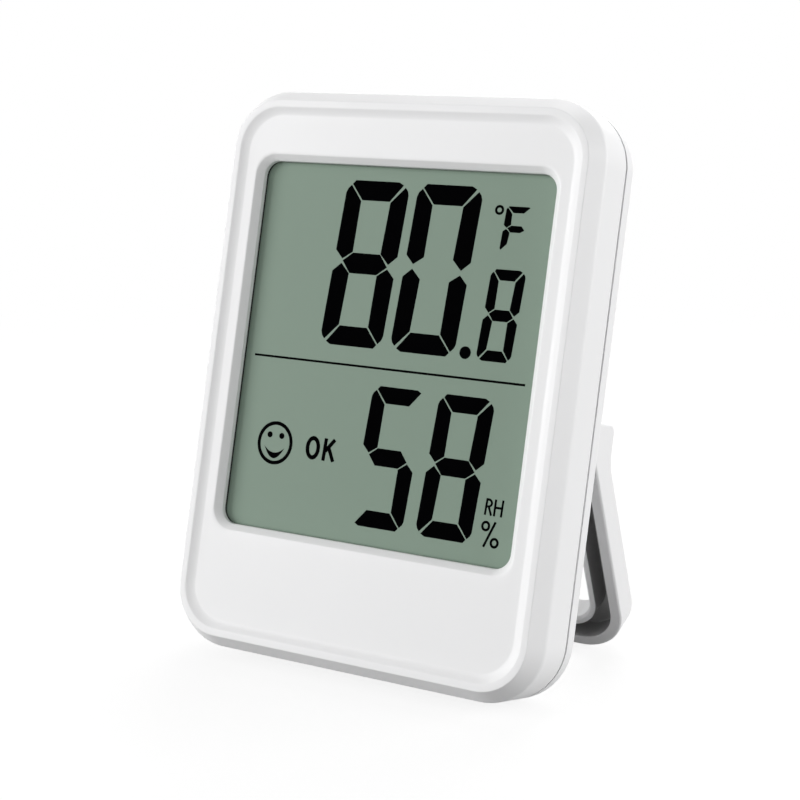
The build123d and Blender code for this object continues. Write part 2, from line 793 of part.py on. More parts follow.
plate_height = chamber_top - leaf_rise
save(upper_contact([
    (left_cell + plate_half_width, chamber_top),
    (left_cell + plate_half_width, plate_height),
    (left_cell - plate_half_width, plate_height),
    (left_cell - plate_half_width, chamber_top - strip_thickness),
    (left_tail + tail_width / 2, chamber_top - strip_thickness),
], left_tail), "contact_positive")
leaf = [(right_cell + leaf_half_width + tail_width, chamber_top)]
leaf += list(reversed(leaf_points(right_cell, chamber_top, -leaf_rise)))
leaf += [(right_cell - leaf_half_width - strip_thickness, chamber_top)]
save(upper_contact(leaf, right_tail), "contact_negative")

# Folding stand, built in its open position on planes that tilt with its legs
pivot = at_side(0).from_local_coords((pivot_depth, pivot_height, 0))
leg_rear = Vector(0, math.cos(leg_tilt), math.sin(leg_tilt))
leg_front = Plane(origin=pivot - leg_rear * pivot_to_front, x_dir=(1, 0, 0), z_dir=-leg_rear)
stand_top = ear_top + ear_back
opening_half = stand_half_width - leg_width
ring_half = opening_half + ring_wall
ring_foot = ring_rise - leg_length


def leg_profile(half_side, foot, top, corner):
    """Outline across both legs, seen from the front, with rounded lower corners."""
    with BuildSketch(leg_front) as profile:
        with Locations((0, (foot + top) / 2)):
            Rectangle(2 * half_side, top - foot)
        fillet(profile.vertices().group_by(Axis.Y)[0], corner)
    return profile.sketch


def leg_edges(solid, depth):
    """Edges of a solid at one depth behind the front face of the legs, the lowest first."""
    found = [edge for edge in solid.edges()
             if abs(leg_front.to_local_coords(edge.center()).Z + depth) < stop_gap]
    return ShapeList(found).sort_by(Axis(leg_front.origin, leg_front.y_dir))


with BuildPart() as stand:
    extrude(leg_profile(stand_half_width, -leg_length, 0, stand_corner), amount=-leg_depth)
    with BuildSketch(at_side(0)) as ear:
        ear_front = case_depth + stop_gap
        block(ear_front, pivot_depth + ear_back, pivot_height - ear_bottom, pivot_height + ear_top)
        fillet(ear.vertices().group_by(Axis.Y)[-1], ear_corner)
    extrude(amount=stand_half_width, both=True)
    with BuildSketch(leg_front):
        Rectangle(2 * stand_half_width + over, 2 * (leg_length + over))
    extrude(amount=pivot_depth, mode=Mode.SUBTRACT)
    fillet(leg_edges(stand, leg_depth).filter_by(Axis.X)[-1], knee_radius)
    fillet(leg_edges(stand, leg_depth)[0], stand_edge_radius)
    chamfer(leg_edges(stand, 0)[0], stand_bevel)
    extrude(leg_profile(opening_half, ring_foot + ring_wall, stand_top, opening_corner),
            amount=leg_depth + ear_back + ear_top, both=True, mode=Mode.SUBTRACT)
    chamfer(leg_edges(stand, 0).filter_by(Axis.X)[1], ring_bevel)
    channel = leg_profile(stand_half_width - flange, flange - leg_length, -channel_top_drop, channel_corner)
    channel -= leg_profile(ring_half, ring_foot, -channel_top_drop, ring_corner)
    extrude(channel, amount=web - leg_depth, mode=Mode.SUBTRACT)
    for hand in (-1, 1):
        with BuildSketch(at_side(hand * opening_half)):
            with Locations((pivot_depth, pivot_height)):
                Circle(pin_radius)
        extrude(amount=-hand * (lug_side_gap + lug_wall))
save(stand.part, "stand")

print("case depth", round(case_depth, 3), "total depth", round(total_depth, 3))
print("leg length", round(leg_length, 3), "lift", round(lift, 3), "middle depth", round(middle_depth, 3))
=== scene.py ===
"""Studio scene of a desk thermometer and hygrometer that stands on its folding stand."""

import json
import logging
import math
from collections.abc import Iterable
from dataclasses import dataclass, field, fields, replace
from enum import Enum
from typing import ClassVar

import bmesh
import bpy
from mathutils import Matrix, Vector


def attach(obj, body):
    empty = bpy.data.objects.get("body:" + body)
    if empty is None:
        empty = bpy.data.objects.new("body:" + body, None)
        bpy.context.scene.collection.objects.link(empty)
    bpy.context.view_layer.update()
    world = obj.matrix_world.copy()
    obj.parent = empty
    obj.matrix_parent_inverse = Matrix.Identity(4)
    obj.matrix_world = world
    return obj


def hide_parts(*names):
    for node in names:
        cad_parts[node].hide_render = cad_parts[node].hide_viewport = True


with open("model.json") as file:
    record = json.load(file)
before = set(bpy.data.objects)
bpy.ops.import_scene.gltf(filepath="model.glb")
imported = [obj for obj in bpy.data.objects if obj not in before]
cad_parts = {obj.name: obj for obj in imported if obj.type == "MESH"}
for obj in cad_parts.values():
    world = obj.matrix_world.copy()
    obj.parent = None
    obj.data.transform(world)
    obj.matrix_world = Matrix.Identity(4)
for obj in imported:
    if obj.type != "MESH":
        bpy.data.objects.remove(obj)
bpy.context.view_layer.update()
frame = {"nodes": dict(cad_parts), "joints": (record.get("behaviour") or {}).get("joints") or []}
MM = 0.001

log = logging.getLogger("thermometer")

Color = tuple[float, float, float]
Point = tuple[float, float]
Inset = tuple[float, float, float]
Material = bpy.types.Material
Mesh = bpy.types.Mesh
Socket = bpy.types.NodeSocket


class Body(Enum):
    """Bodies that the pieces ride on."""

    CASE = "case"
    STAND = "stand"
    DOOR = "battery_door"
    BUTTON = "unit_button"


class Relief(Enum):
    """Kinds of fine surface relief."""

    MOULDED = "moulded"
    DRAWN = "drawn"
    BRUSHED = "brushed"


@dataclass(frozen=True)
class CaseFrame:
    """Places on the leaning case: side to the right, height up the face and depth behind the rim, in mm.

    Attributes:
        pivot: the stand's pivot in metres, where the hinge joint has it.
        up: direction up the face.
        pivot_height: height of the pivot on the case.
        pivot_depth: depth of the pivot behind the rim.
    """

    pivot: Vector
    up: Vector
    pivot_height: float = 36.85
    pivot_depth: float = 14.5

    @classmethod
    def from_joints(cls, joints: list[dict]) -> "CaseFrame":
        """Reads the case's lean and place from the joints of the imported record."""
        named = {joint["name"]: joint for joint in joints}
        return cls(Vector(named["stand_hinge"]["pos_m"]), Vector(named["door_slide"]["axis"]).normalized())

    @property
    def front(self) -> Vector:
        """Direction out of the face."""
        return Vector((1, 0, 0)).cross(self.up)

    @property
    def origin(self) -> Vector:
        """Point on the rim plane below the middle of the case."""
        return self.pivot - self.up * self.pivot_height * MM + self.front * self.pivot_depth * MM

    @property
    def matrix(self) -> Matrix:
        """Turns case places in metres, with depth counted towards the front, into the row frame."""
        turn = Matrix((Vector((1, 0, 0)), self.up, self.front)).transposed()
        return Matrix.Translation(self.origin) @ turn.to_4x4()

    def at(self, side: float, height: float, depth: float) -> Vector:
        """Gives the point at a side, height and depth in mm, in metres."""
        return self.matrix @ (Vector((side, height, -depth)) * MM)


CASE = CaseFrame.from_joints(frame["joints"])


class NodeSheet:
    """Lays out the nodes of a material or a geometry tree."""

    SPACING = 220

    def __init__(self, tree: bpy.types.NodeTree) -> None:
        """Keeps the tree to fill and starts a row of nodes."""
        self.tree = tree
        self.count = 0

    def add(self, kind: str, inputs: dict | None = None, **settings: object) -> bpy.types.Node:
        """Adds a node and fills its settings and inputs.

        Args:
            kind: the node's type.
            inputs: values, output sockets or lists of output sockets, by the input's name or number.
            settings: attributes of the node.

        Returns:
            The new node.
        """
        node = self.tree.nodes.new(kind)
        node.location = (self.SPACING * self.count, 0)
        self.count += 1
        for name, value in settings.items():
            setattr(node, name, value)
        for name, value in (inputs or {}).items():
            for source in value if isinstance(value, list) else [value]:
                if isinstance(source, Socket):
                    self.tree.links.new(source, node.inputs[name])
                else:
                    node.inputs[name].default_value = source
        return node

    def math(self, operation: str, *values: object) -> Socket:
        """Adds a math node on numbers or sockets and gives its result."""
        return self.add("ShaderNodeMath", dict(enumerate(values)), operation=operation).outputs[0]

    def ranged(self, value: Socket, source: Point, target: Point) -> Socket:
        """Maps a value smoothly from the source range to the target range."""
        inputs = dict(enumerate((value, *source, *target)))
        return self.add("ShaderNodeMapRange", inputs, interpolation_type="SMOOTHSTEP").outputs[0]

    def mixed(self, factor: object, first: object, second: object) -> Socket:
        """Mixes two colours by a factor, each given as a value or a socket."""
        return self.add("ShaderNodeMix", {0: factor, 6: first, 7: second}, data_type="RGBA").outputs[2]

    def noise(self, place: Socket, size: float, detail: float) -> Socket:
        """Adds a noise whose lumps have a size in mm."""
        inputs = {"Vector": place, "Scale": 1 / (size * MM), "Detail": detail}
        return self.add("ShaderNodeTexNoise", inputs).outputs[0]

    def cylinder(self, radius: Socket, depth: Socket, vertices: int, rings: int = 1) -> Socket:
        """Adds a cylinder around the origin, with its ends divided into rings."""
        inputs = {"Vertices": vertices, "Fill Segments": rings, "Radius": radius, "Depth": depth}
        return self.add("GeometryNodeMeshCylinder", inputs).outputs[0]

    def brick(self, *sizes: object) -> Socket:
        """Adds a brick around the origin, with its length, width and height as numbers or sockets."""
        size = self.add("ShaderNodeCombineXYZ", dict(enumerate(sizes)))
        return self.add("GeometryNodeMeshCube", {"Size": size.outputs[0]}).outputs[0]

    def moved(self, shape: Socket, **offset: object) -> Socket:
        """Moves a shape by numbers or sockets named X, Y and Z."""
        way = self.add("ShaderNodeCombineXYZ", offset).outputs[0]
        return self.add("GeometryNodeTransform", {"Geometry": shape, "Translation": way}).outputs[0]

    def combined(self, operation: str, shapes: dict[int, object]) -> Socket:
        """Unites the shapes at input 1, or cuts them from the shape at input 0."""
        return self.add("GeometryNodeMeshBoolean", shapes, operation=operation, solver="EXACT").outputs[0]


def opaque(color: Color) -> tuple[float, float, float, float]:
    """Gives a colour its fourth value."""
    return (*color, 1.0)


def tinted(color: Color, share: float) -> tuple[float, float, float, float]:
    """Gives a colour made darker or lighter by a share."""
    return opaque(tuple(min(1.0, part * (1 + share)) for part in color))


@dataclass(frozen=True)
class Finish:
    """Surface whose colour, gloss and relief vary in fine procedural detail.

    Attributes:
        name: the material's name.
        color: main colour.
        roughness: main roughness.
        metallic: 1 for bare metal.
        variation: how far the colour drifts, as a share.
        drift: size of the slow colour drift in mm.
        gloss_drift: how far the roughness drifts.
        grain: size of the relief's grain in mm.
        depth: depth of the relief in mm.
        relief: kind of relief.
        coat: weight of a clear coat.
        specular: strength of the plain reflection, 0.5 for plastic.
        hollow: how much the colour is darkened by painted shade in deep hollows, standing in for the light
            they lose, as a share.
        hollow_reach: how near the walls of a recess must be to paint shade into it, in mm.
        DEEP: how much darker than the main colour the painted shade is at its deepest, as a share.
        NOISE: range of the noise that the gloss follows.
        OPENNESS: range of the open share that the painted shade follows.
        STRETCH: how a relief's grain is squeezed along each axis.
    """

    DEEP: ClassVar[float] = -0.9
    NOISE: ClassVar[Point] = (0.3, 0.7)
    OPENNESS: ClassVar[Point] = (0.35, 0.95)
    STRETCH: ClassVar[dict[Relief, Color]] = {
        Relief.MOULDED: (1, 1, 1), Relief.DRAWN: (1, 1, 0.15), Relief.BRUSHED: (0.04, 1, 1)}

    name: str
    color: Color
    roughness: float
    metallic: float = 0.0
    variation: float = 0.02
    drift: float = 9.0
    gloss_drift: float = 0.04
    grain: float = 0.22
    depth: float = 0.004
    relief: Relief = Relief.MOULDED
    coat: float = 0.0
    specular: float = 0.5
    hollow: float = 0.0
    hollow_reach: float = 7.0

    def build(self) -> Material:
        """Builds the material.

        Returns:
            The material.
        """
        material = bpy.data.materials.new(self.name)
        material.use_nodes = True
        material.diffuse_color = opaque(self.color)
        material.node_tree.nodes.clear()
        sheet = NodeSheet(material.node_tree)
        place = sheet.add("ShaderNodeTexCoord").outputs["Object"]
        color, rough = self.paint(sheet, place)
        surface = sheet.add("ShaderNodeBsdfPrincipled", {
            "Base Color": color, "Roughness": rough, "Metallic": self.metallic, "Coat Weight": self.coat,
            "Specular IOR Level": self.specular, "Normal": self.embossed(sheet, place)})
        sheet.add("ShaderNodeOutputMaterial", {"Surface": surface.outputs[0]})
        return material

    def paint(self, sheet: NodeSheet, place: Socket) -> tuple[Socket, object]:
        """Gives the surface a slow drift of colour and gloss, and painted shade in its hollows where that is
        set.

        Args:
            sheet: the material's nodes.
            place: the surface's coordinates.

        Returns:
            Its colour and roughness.
        """
        drift = sheet.noise(place, self.drift, detail=3.0)
        color = sheet.mixed(drift, tinted(self.color, -self.variation), tinted(self.color, self.variation))
        # painted shade: darkens the colour in the piece's own hollows, where set
        if self.hollow:
            color = self.shaded(sheet, color)
        gloss = (self.roughness - self.gloss_drift, self.roughness + self.gloss_drift)
        return color, sheet.ranged(drift, self.NOISE, gloss)

    def shaded(self, sheet: NodeSheet, color: Socket) -> Socket:
        """Paints shade into a colour in the piece's own hollows, by ambient occlusion, in place of the light
        they lose.

        Args:
            sheet: the material's nodes.
            color: the plain colour's socket.

        Returns:
            The darkened colour's socket.
        """
        # painted shade: ambient occlusion within reach darkens the base colour, standing in for the light a
        # recess loses
        reach = {"Distance": self.hollow_reach * MM}
        around = sheet.add("ShaderNodeAmbientOcclusion", reach, only_local=True, samples=8)
        shade = sheet.ranged(around.outputs["AO"], self.OPENNESS, (self.hollow, 0.0))
        return sheet.mixed(shade, color, tinted(self.color, self.DEEP))

    def embossed(self, sheet: NodeSheet, place: Socket) -> Socket:
        """Gives the surface its fine relief.

        Args:
            sheet: the material's nodes.
            place: the surface's coordinates.

        Returns:
            The relief's normals.
        """
        spread = sheet.add("ShaderNodeMapping", {"Vector": place, "Scale": self.STRETCH[self.relief]})
        grain = sheet.noise(spread.outputs[0], self.grain, detail=2.0)
        inputs = {"Height": grain, "Strength": 0.6, "Distance": self.depth * MM}
        return sheet.add("ShaderNodeBump", inputs).outputs[0]


@dataclass(frozen=True)
class BoardFinish(Finish):
    """Solder mask over copper tracks.

    Attributes:
        track: pitch of the tracks in mm.
        track_color: colour of the mask over a track.
    """

    track: float = 1.6
    track_color: Color = (0.05, 0.22, 0.08)

    def paint(self, sheet: NodeSheet, place: Socket) -> tuple[Socket, object]:
        """Colours the mask, lighter over the tracks.

        Args:
            sheet: the material's nodes.
            place: the surface's coordinates.

        Returns:
            Its colour and roughness.
        """
        tracks = sheet.add("ShaderNodeTexBrick", {
            "Vector": place, "Scale": 1 / (self.track * MM), "Color1": opaque(self.color),
            "Color2": tinted(self.color, 0.1), "Mortar": opaque(self.track_color), "Mortar Size": 0.06})
        return tracks.outputs[0], self.roughness


@dataclass(frozen=True)
class StripedFinish(Finish):
    """Rubber whose conducting layers alternate with plain ones across the case.

    Attributes:
        layer: thickness of a pair of layers in mm.
        layer_color: colour of the conducting layers.
    """

    layer: float = 0.2
    layer_color: Color = (0.02, 0.02, 0.02)

    def paint(self, sheet: NodeSheet, place: Socket) -> tuple[Socket, object]:
        """Colours the layers.

        Args:
            sheet: the material's nodes.
            place: the surface's coordinates.

        Returns:
            Its colour and roughness.
        """
        scale = math.pi / (10 * self.layer * MM)
        layers = sheet.add("ShaderNodeTexWave", {"Vector": place, "Scale": scale}, bands_direction="X")
        return sheet.mixed(layers.outputs[1], opaque(self.layer_color), opaque(self.color)), self.roughness


class Palette:
    """Finishes of the thermometer, built once and shared by its pieces."""

    FINISHES: tuple[Finish, ...] = (
        Finish("white_moulding", (0.87, 0.87, 0.875), 0.42, variation=0.006, drift=14.0, specular=0.42),
        # the stand's colour carries painted shade in its channel and other hollows
        Finish("stand_moulding", (0.86, 0.86, 0.865), 0.34, variation=0.006, drift=11.0, hollow=0.66),
        Finish("grey_button", (0.42, 0.43, 0.44), 0.4, grain=0.15),
        Finish("black_foam", (0.012, 0.012, 0.012), 0.95, variation=0.2, drift=0.6, depth=0.03),
        Finish("display_ground", (0.236, 0.311, 0.252), 0.4, variation=0.012, drift=2.5, gloss_drift=0.02,
               depth=0.001, grain=0.08, specular=0.08),
        Finish("display_segment", (0.0012, 0.0012, 0.0015), 0.45, variation=0.3, drift=1.5, depth=0.001,
               specular=0.0),
        Finish("display_glass", (0.45, 0.5, 0.46), 0.05, depth=0.0005, coat=0.5),
        Finish("reflector_film", (0.3, 0.36, 0.31), 0.5, depth=0.002, grain=0.05),
        Finish("natural_moulding", (0.72, 0.71, 0.67), 0.5),
        StripedFinish("striped_rubber", (0.6, 0.25, 0.3), 0.7),
        BoardFinish("solder_mask", (0.01, 0.12, 0.035), 0.35, depth=0.002),
        Finish("zinc_plate", (0.62, 0.62, 0.6), 0.28, metallic=1.0, depth=0.002, grain=0.3),
        Finish("black_resin", (0.008, 0.008, 0.008), 0.18, depth=0.01, grain=1.2),
        Finish("drawn_can", (0.68, 0.68, 0.66), 0.22, metallic=1.0, relief=Relief.DRAWN, depth=0.001),
        Finish("fired_ceramic", (0.35, 0.24, 0.15), 0.55, variation=0.15, drift=0.4),
        Finish("black_moulding", (0.02, 0.02, 0.02), 0.55),
        Finish("cell_sleeve", (0.045, 0.12, 0.2), 0.25, depth=0.003, grain=1.5, coat=0.4),
        Finish("cell_band", (0.55, 0.57, 0.58), 0.28, depth=0.003, grain=1.5, coat=0.4),
        Finish("cell_seal", (0.75, 0.74, 0.7), 0.6),
        Finish("nickel_strip", (0.66, 0.64, 0.58), 0.25, metallic=1.0, relief=Relief.BRUSHED, depth=0.002),
    )

    def __init__(self) -> None:
        """Builds every finish."""
        self.materials = {finish.name: finish.build() for finish in self.FINISHES}

    def __getitem__(self, name: str) -> Material:
        """Gives a finish's material by name."""
        return self.materials[name]


def linked(name: str, data: bpy.types.ID) -> bpy.types.Object:
    """Adds an object to the scene.

    Args:
        name: the object's name.
        data: its mesh, lamp or camera.

    Returns:
        The object.
    """
    made = bpy.data.objects.new(name, data)
    bpy.context.scene.collection.objects.link(made)
    return made


@dataclass(frozen=True)
class Piece:
    """What a finished piece stands for.

    Attributes:
        name: the piece's name.
        body: the body it rides on.
        slot: name of the piece's material slot; not used.
        nodes: the nodes it replaces.
    """

    name: str
    body: Body
    slot: str
    nodes: tuple[str, ...] = ()

    def place(self, mesh: Mesh, *materials: Material) -> None:
        """Makes the piece's object from a mesh that is already in its place.

        Args:
            mesh: the finished mesh.
            materials: the mesh's materials, where it has none yet.
        """
        mesh.name = self.name
        if materials:
            mesh.materials.clear()
        for material in materials:
            mesh.materials.append(material)
        piece = linked(self.name, mesh)
        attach(piece, self.body.value)
        if self.nodes:
            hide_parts(*self.nodes)
        log.info("%s: %d faces on %s", self.name, len(mesh.polygons), self.body.value)


def modified(mesh: Mesh, kind: str, settings: dict, values: dict[str, float] | None = None) -> Mesh:
    """Runs one modifier on a mesh.

    Args:
        mesh: the mesh to change.
        kind: the modifier's type.
        settings: the modifier's settings.
        values: values of a geometry tree's inputs, by the inputs' identifiers.

    Returns:
        A new mesh with the modifier's result.
    """
    holder = linked("holder", mesh)
    modifier = holder.modifiers.new(kind, kind)
    for name, value in settings.items():
        setattr(modifier, name, value)
    for identifier, value in (values or {}).items():
        modifier[identifier] = value
    graph = bpy.context.evaluated_depsgraph_get()
    result = bpy.data.meshes.new_from_object(holder.evaluated_get(graph), depsgraph=graph)
    holder.modifiers.remove(modifier)
    bpy.data.objects.remove(holder)
    return result


def smoothed(mesh: Mesh, angle: float = 32.0) -> Mesh:
    """Shades a mesh smooth but for its sharp edges, with flat faces kept flat.

    Args:
        mesh: the mesh to shade.
        angle: edges sharper than this, in degrees, stay sharp.

    Returns:
        A new mesh.
    """
    mesh.shade_smooth()
    mesh.set_sharp_from_angle(angle=math.radians(angle))
    return modified(mesh, "WEIGHTED_NORMAL", {"keep_sharp": True, "weight": 80})


def finished(shape: bmesh.types.BMesh) -> Mesh:
    """Turns a closed shape's faces outwards and ends it.

    Args:
        shape: the shape.

    Returns:
        Its mesh.
    """
    bmesh.ops.recalc_face_normals(shape, faces=shape.faces)
    mesh = bpy.data.meshes.new("shape")
    shape.to_mesh(mesh)
    shape.free()
    return mesh


def skinned(rows: list[list[Vector]], finishes: list[int] | None = None) -> Mesh:
    """Skins rings of points that follow each other, back to the first unless it is a single point.

    Args:
        rows: the rings, with equal numbers of points or a single one.
        finishes: number of the finish after each ring, where there are several.

    Returns:
        The closed mesh.
    """
    shape = bmesh.new()
    rings = [[shape.verts.new(point) for point in row] for row in rows]
    steps = max(len(ring) for ring in rings)
    pairs = list(zip(rings, rings[1:]))
    if len(rings[0]) > 1:
        pairs.append((rings[-1], rings[0]))
    for number, (ring, following) in enumerate(pairs):
        for step in range(steps):
            beside = (step + 1) % steps
            corners = [row[place % len(row)] for row, place in (
                (ring, step), (ring, beside), (following, beside), (following, step))]
            face = shape.faces.new(list(dict.fromkeys(corners)))
            face.material_index = finishes[number] if finishes else 0
    return finished(shape)


@dataclass(frozen=True)
class SoftenedCopy:
    """Copy of a moulded node whose sharp edges get the small round that a mould leaves.

    Attributes:
        node: the node it copies.
        radius: width of the rounded edges in mm.
        rings: steps across a rounded edge.
        deepest: depth behind the rim past which edges stay sharp.
        weld: distance within which corners are one.
        flat_angle: faces that turn by less than this, in degrees, are one.
        sharp_angle: edges that turn by more than this, in degrees, are rounded.
    """

    node: str
    radius: float
    rings: int = 2
    deepest: float = math.inf
    weld: float = 0.002
    flat_angle: float = 0.4
    sharp_angle: float = 35.0

    def mesh(self) -> Mesh:
        """Builds the copy.

        Returns:
            The mesh, in place.
        """
        mesh = frame["nodes"][self.node].data.copy()
        shape = bmesh.new()
        shape.from_mesh(mesh)
        bmesh.ops.remove_doubles(shape, verts=shape.verts, dist=self.weld * MM)
        bmesh.ops.dissolve_limit(shape, angle_limit=math.radians(self.flat_angle), verts=shape.verts,
                                 edges=shape.edges)
        self.weigh(shape)
        shape.to_mesh(mesh)
        shape.free()
        settings = {"width": self.radius * MM, "segments": self.rings, "limit_method": "WEIGHT",
                    "use_clamp_overlap": False, "harden_normals": False}
        return smoothed(modified(mesh, "BEVEL", settings))

    def weigh(self, shape: bmesh.types.BMesh) -> None:
        """Marks the edges that are rounded.

        Args:
            shape: the copy.
        """
        weight = shape.edges.layers.float.new("bevel_weight_edge")
        straight = CASE.matrix.inverted()
        for edge in shape.edges:
            depth = max(-(straight @ corner.co).z for corner in edge.verts)
            turns = edge.calc_face_angle(0.0) > math.radians(self.sharp_angle)
            edge[weight] = float(turns and depth < self.deepest * MM)


@dataclass(frozen=True)
class Ring:
    """Rounded rectangle around the case at one depth, in mm.

    Attributes:
        half_width: half of its width.
        low: height of its lower side.
        high: height of its upper side.
        corner: radius of its corners.
        depth: depth behind the rim.
        round: radius by which the edge along it is rounded.
        HALF: the most that a rounded edge takes of the way to the next ring, as a share.
    """

    HALF: ClassVar[float] = 0.45

    half_width: float
    low: float
    high: float
    corner: float
    depth: float
    round: float = 0.0

    def towards(self, other: "Ring", reach: float) -> "Ring":
        """Gives the ring that lies some way in mm towards another, and at most nearly half-way."""
        gap = math.hypot(self.half_width - other.half_width, self.depth - other.depth)
        return self.blended(other, min(self.HALF, reach / gap))

    def blended(self, other: "Ring", share: float) -> "Ring":
        """Gives the ring at a share of the way to another."""
        names = ("half_width", "low", "high", "corner", "depth")
        return Ring(*(getattr(self, name) * (1 - share) + getattr(other, name) * share for name in names))

    def points(self, steps: int) -> list[Vector]:
        """Gives the ring's points in the row frame, in metres.

        Args:
            steps: steps around each corner.

        Returns:
            The points, anticlockwise seen from the front.
        """
        found = []
        side, low, high = self.half_width - self.corner, self.low + self.corner, self.high - self.corner
        for quarter, (across, up) in enumerate(((side, low), (side, high), (-side, high), (-side, low))):
            for step in range(steps + 1):
                turn = math.radians(90 * quarter - 90 + 90 * step / steps)
                place = (across + self.corner * math.cos(turn), up + self.corner * math.sin(turn))
                found.append(CASE.at(*place, self.depth))
        return found


@dataclass
class FrontCasing:
    """Front half of the case, drawn as rings that follow each other around its wall.

    Attributes:
        half_width: half of the case's width.
        height: the case's height.
        corner: radius of the case's corners.
        wall: thickness of its side walls.
        parting: depth of the joint with the rear half.
        shadow_gap: width of the gap at the joint, where the tongue of the rear half holds the walls apart.
        ridge_depth: depth of the ridge round the rim.
        crest: side inset, end inset and corner radius of the chamfer's edge at the rim.
        land: the same of the inner edge of the rim's land.
        foot: the same of the foot of the slope down to the dish.
        dish_depth: depth of the dish inside the rim.
        bevel: the window bevel's outer ring.
        window: the window's ring at the foot of its bevel.
        window_back: the window's ring at the gasket.
        pocket: the gasket's pocket behind the window.
        face_back: depth of the front panel's back.
        scoop_bend: how much steeper the slope is at the rim than at the dish.
        scoop_steps: rings down the slope.
        steps: steps around each corner.
        softness: steps across each rounded edge.
        sharp_angle: edges that turn by more than this, in degrees, stay sharp.
    """

    half_width: float = 29.5
    height: float = 80.0
    corner: float = 8.6
    wall: float = 1.6
    parting: float = 8.6
    shadow_gap: float = 0.1
    ridge_depth: float = 2.4
    crest: Inset = (1.65, 1.65, 6.8)
    land: Inset = (2.55, 2.65, 6.0)
    foot: Inset = (4.0, 3.9, 5.0)
    dish_depth: float = 0.55
    bevel: Ring = Ring(24.1, 16.77, 70.74, 3.1, 0.55, 0.16)
    window: Ring = Ring(23.2, 17.67, 69.84, 2.25, 1.5, 0.10)
    window_back: Ring = Ring(23.2, 17.67, 69.84, 2.25, 2.2, 0.05)
    pocket: Ring = Ring(24.85, 13.85, 71.49, 0.6, 2.2, 0.05)
    face_back: float = 2.6
    scoop_bend: float = 1.55
    scoop_steps: int = 6
    steps: int = 20
    softness: int = 4
    sharp_angle: float = 60.0

    def inset(self, place: Inset, depth: float, rounding: float) -> Ring:
        """Gives a ring drawn in from the case's outline by a side inset and an end inset."""
        side, end, corner = place
        return Ring(self.half_width - side, end, self.height - end, corner, depth, rounding)

    def profile(self) -> list[Ring]:
        """Lays out the wall's rings.

        Returns:
            The rings in order: up the outside, over the rim, down the window and back inside.
        """
        inside, outside = (self.wall, self.wall, self.corner - self.wall), (0, 0, self.corner)
        edge = self.parting - self.shadow_gap
        return [
            self.inset(inside, edge, rounding=0.05),
            self.inset(outside, edge, rounding=0.08),
            self.inset(outside, self.ridge_depth, rounding=0.35),
            self.inset(self.crest, 0, rounding=0.10),
            *self.scoop(),
            self.bevel,
            self.window,
            self.window_back,
            self.pocket,
            replace(self.pocket, depth=self.face_back),
            self.inset(inside, self.face_back, rounding=0.3),
        ]

    def scoop(self) -> list[Ring]:
        """Lays out the hollow slope.

        Returns:
            The rings from the rim's land down to the dish.
        """
        land = self.inset(self.land, 0, rounding=0.15)
        foot = self.inset(self.foot, self.dish_depth, rounding=0.1)
        rings = [land]
        for step in range(1, self.scoop_steps + 1):
            share = step / self.scoop_steps
            fall = 1 - (1 - share) ** self.scoop_bend
            rings.append(replace(land.blended(foot, share), depth=self.dish_depth * fall))
        return rings

    def softened(self) -> list[Ring]:
        """Rounds the edges along the rings.

        Returns:
            The rings, with others between them around each edge.
        """
        rings = self.profile()
        found = []
        for number, ring in enumerate(rings):
            if not ring.round:
                found.append(ring)
                continue
            before = ring.towards(rings[number - 1], ring.round)
            after = ring.towards(rings[(number + 1) % len(rings)], ring.round)
            for step in range(self.softness + 1):
                share = step / self.softness
                found.append(before.blended(ring, share).blended(ring.blended(after, share), share))
        return found

    def mesh(self) -> Mesh:
        """Builds the closed wall, in place."""
        rows = [ring.points(self.steps) for ring in self.softened()]
        return smoothed(skinned(rows), self.sharp_angle)


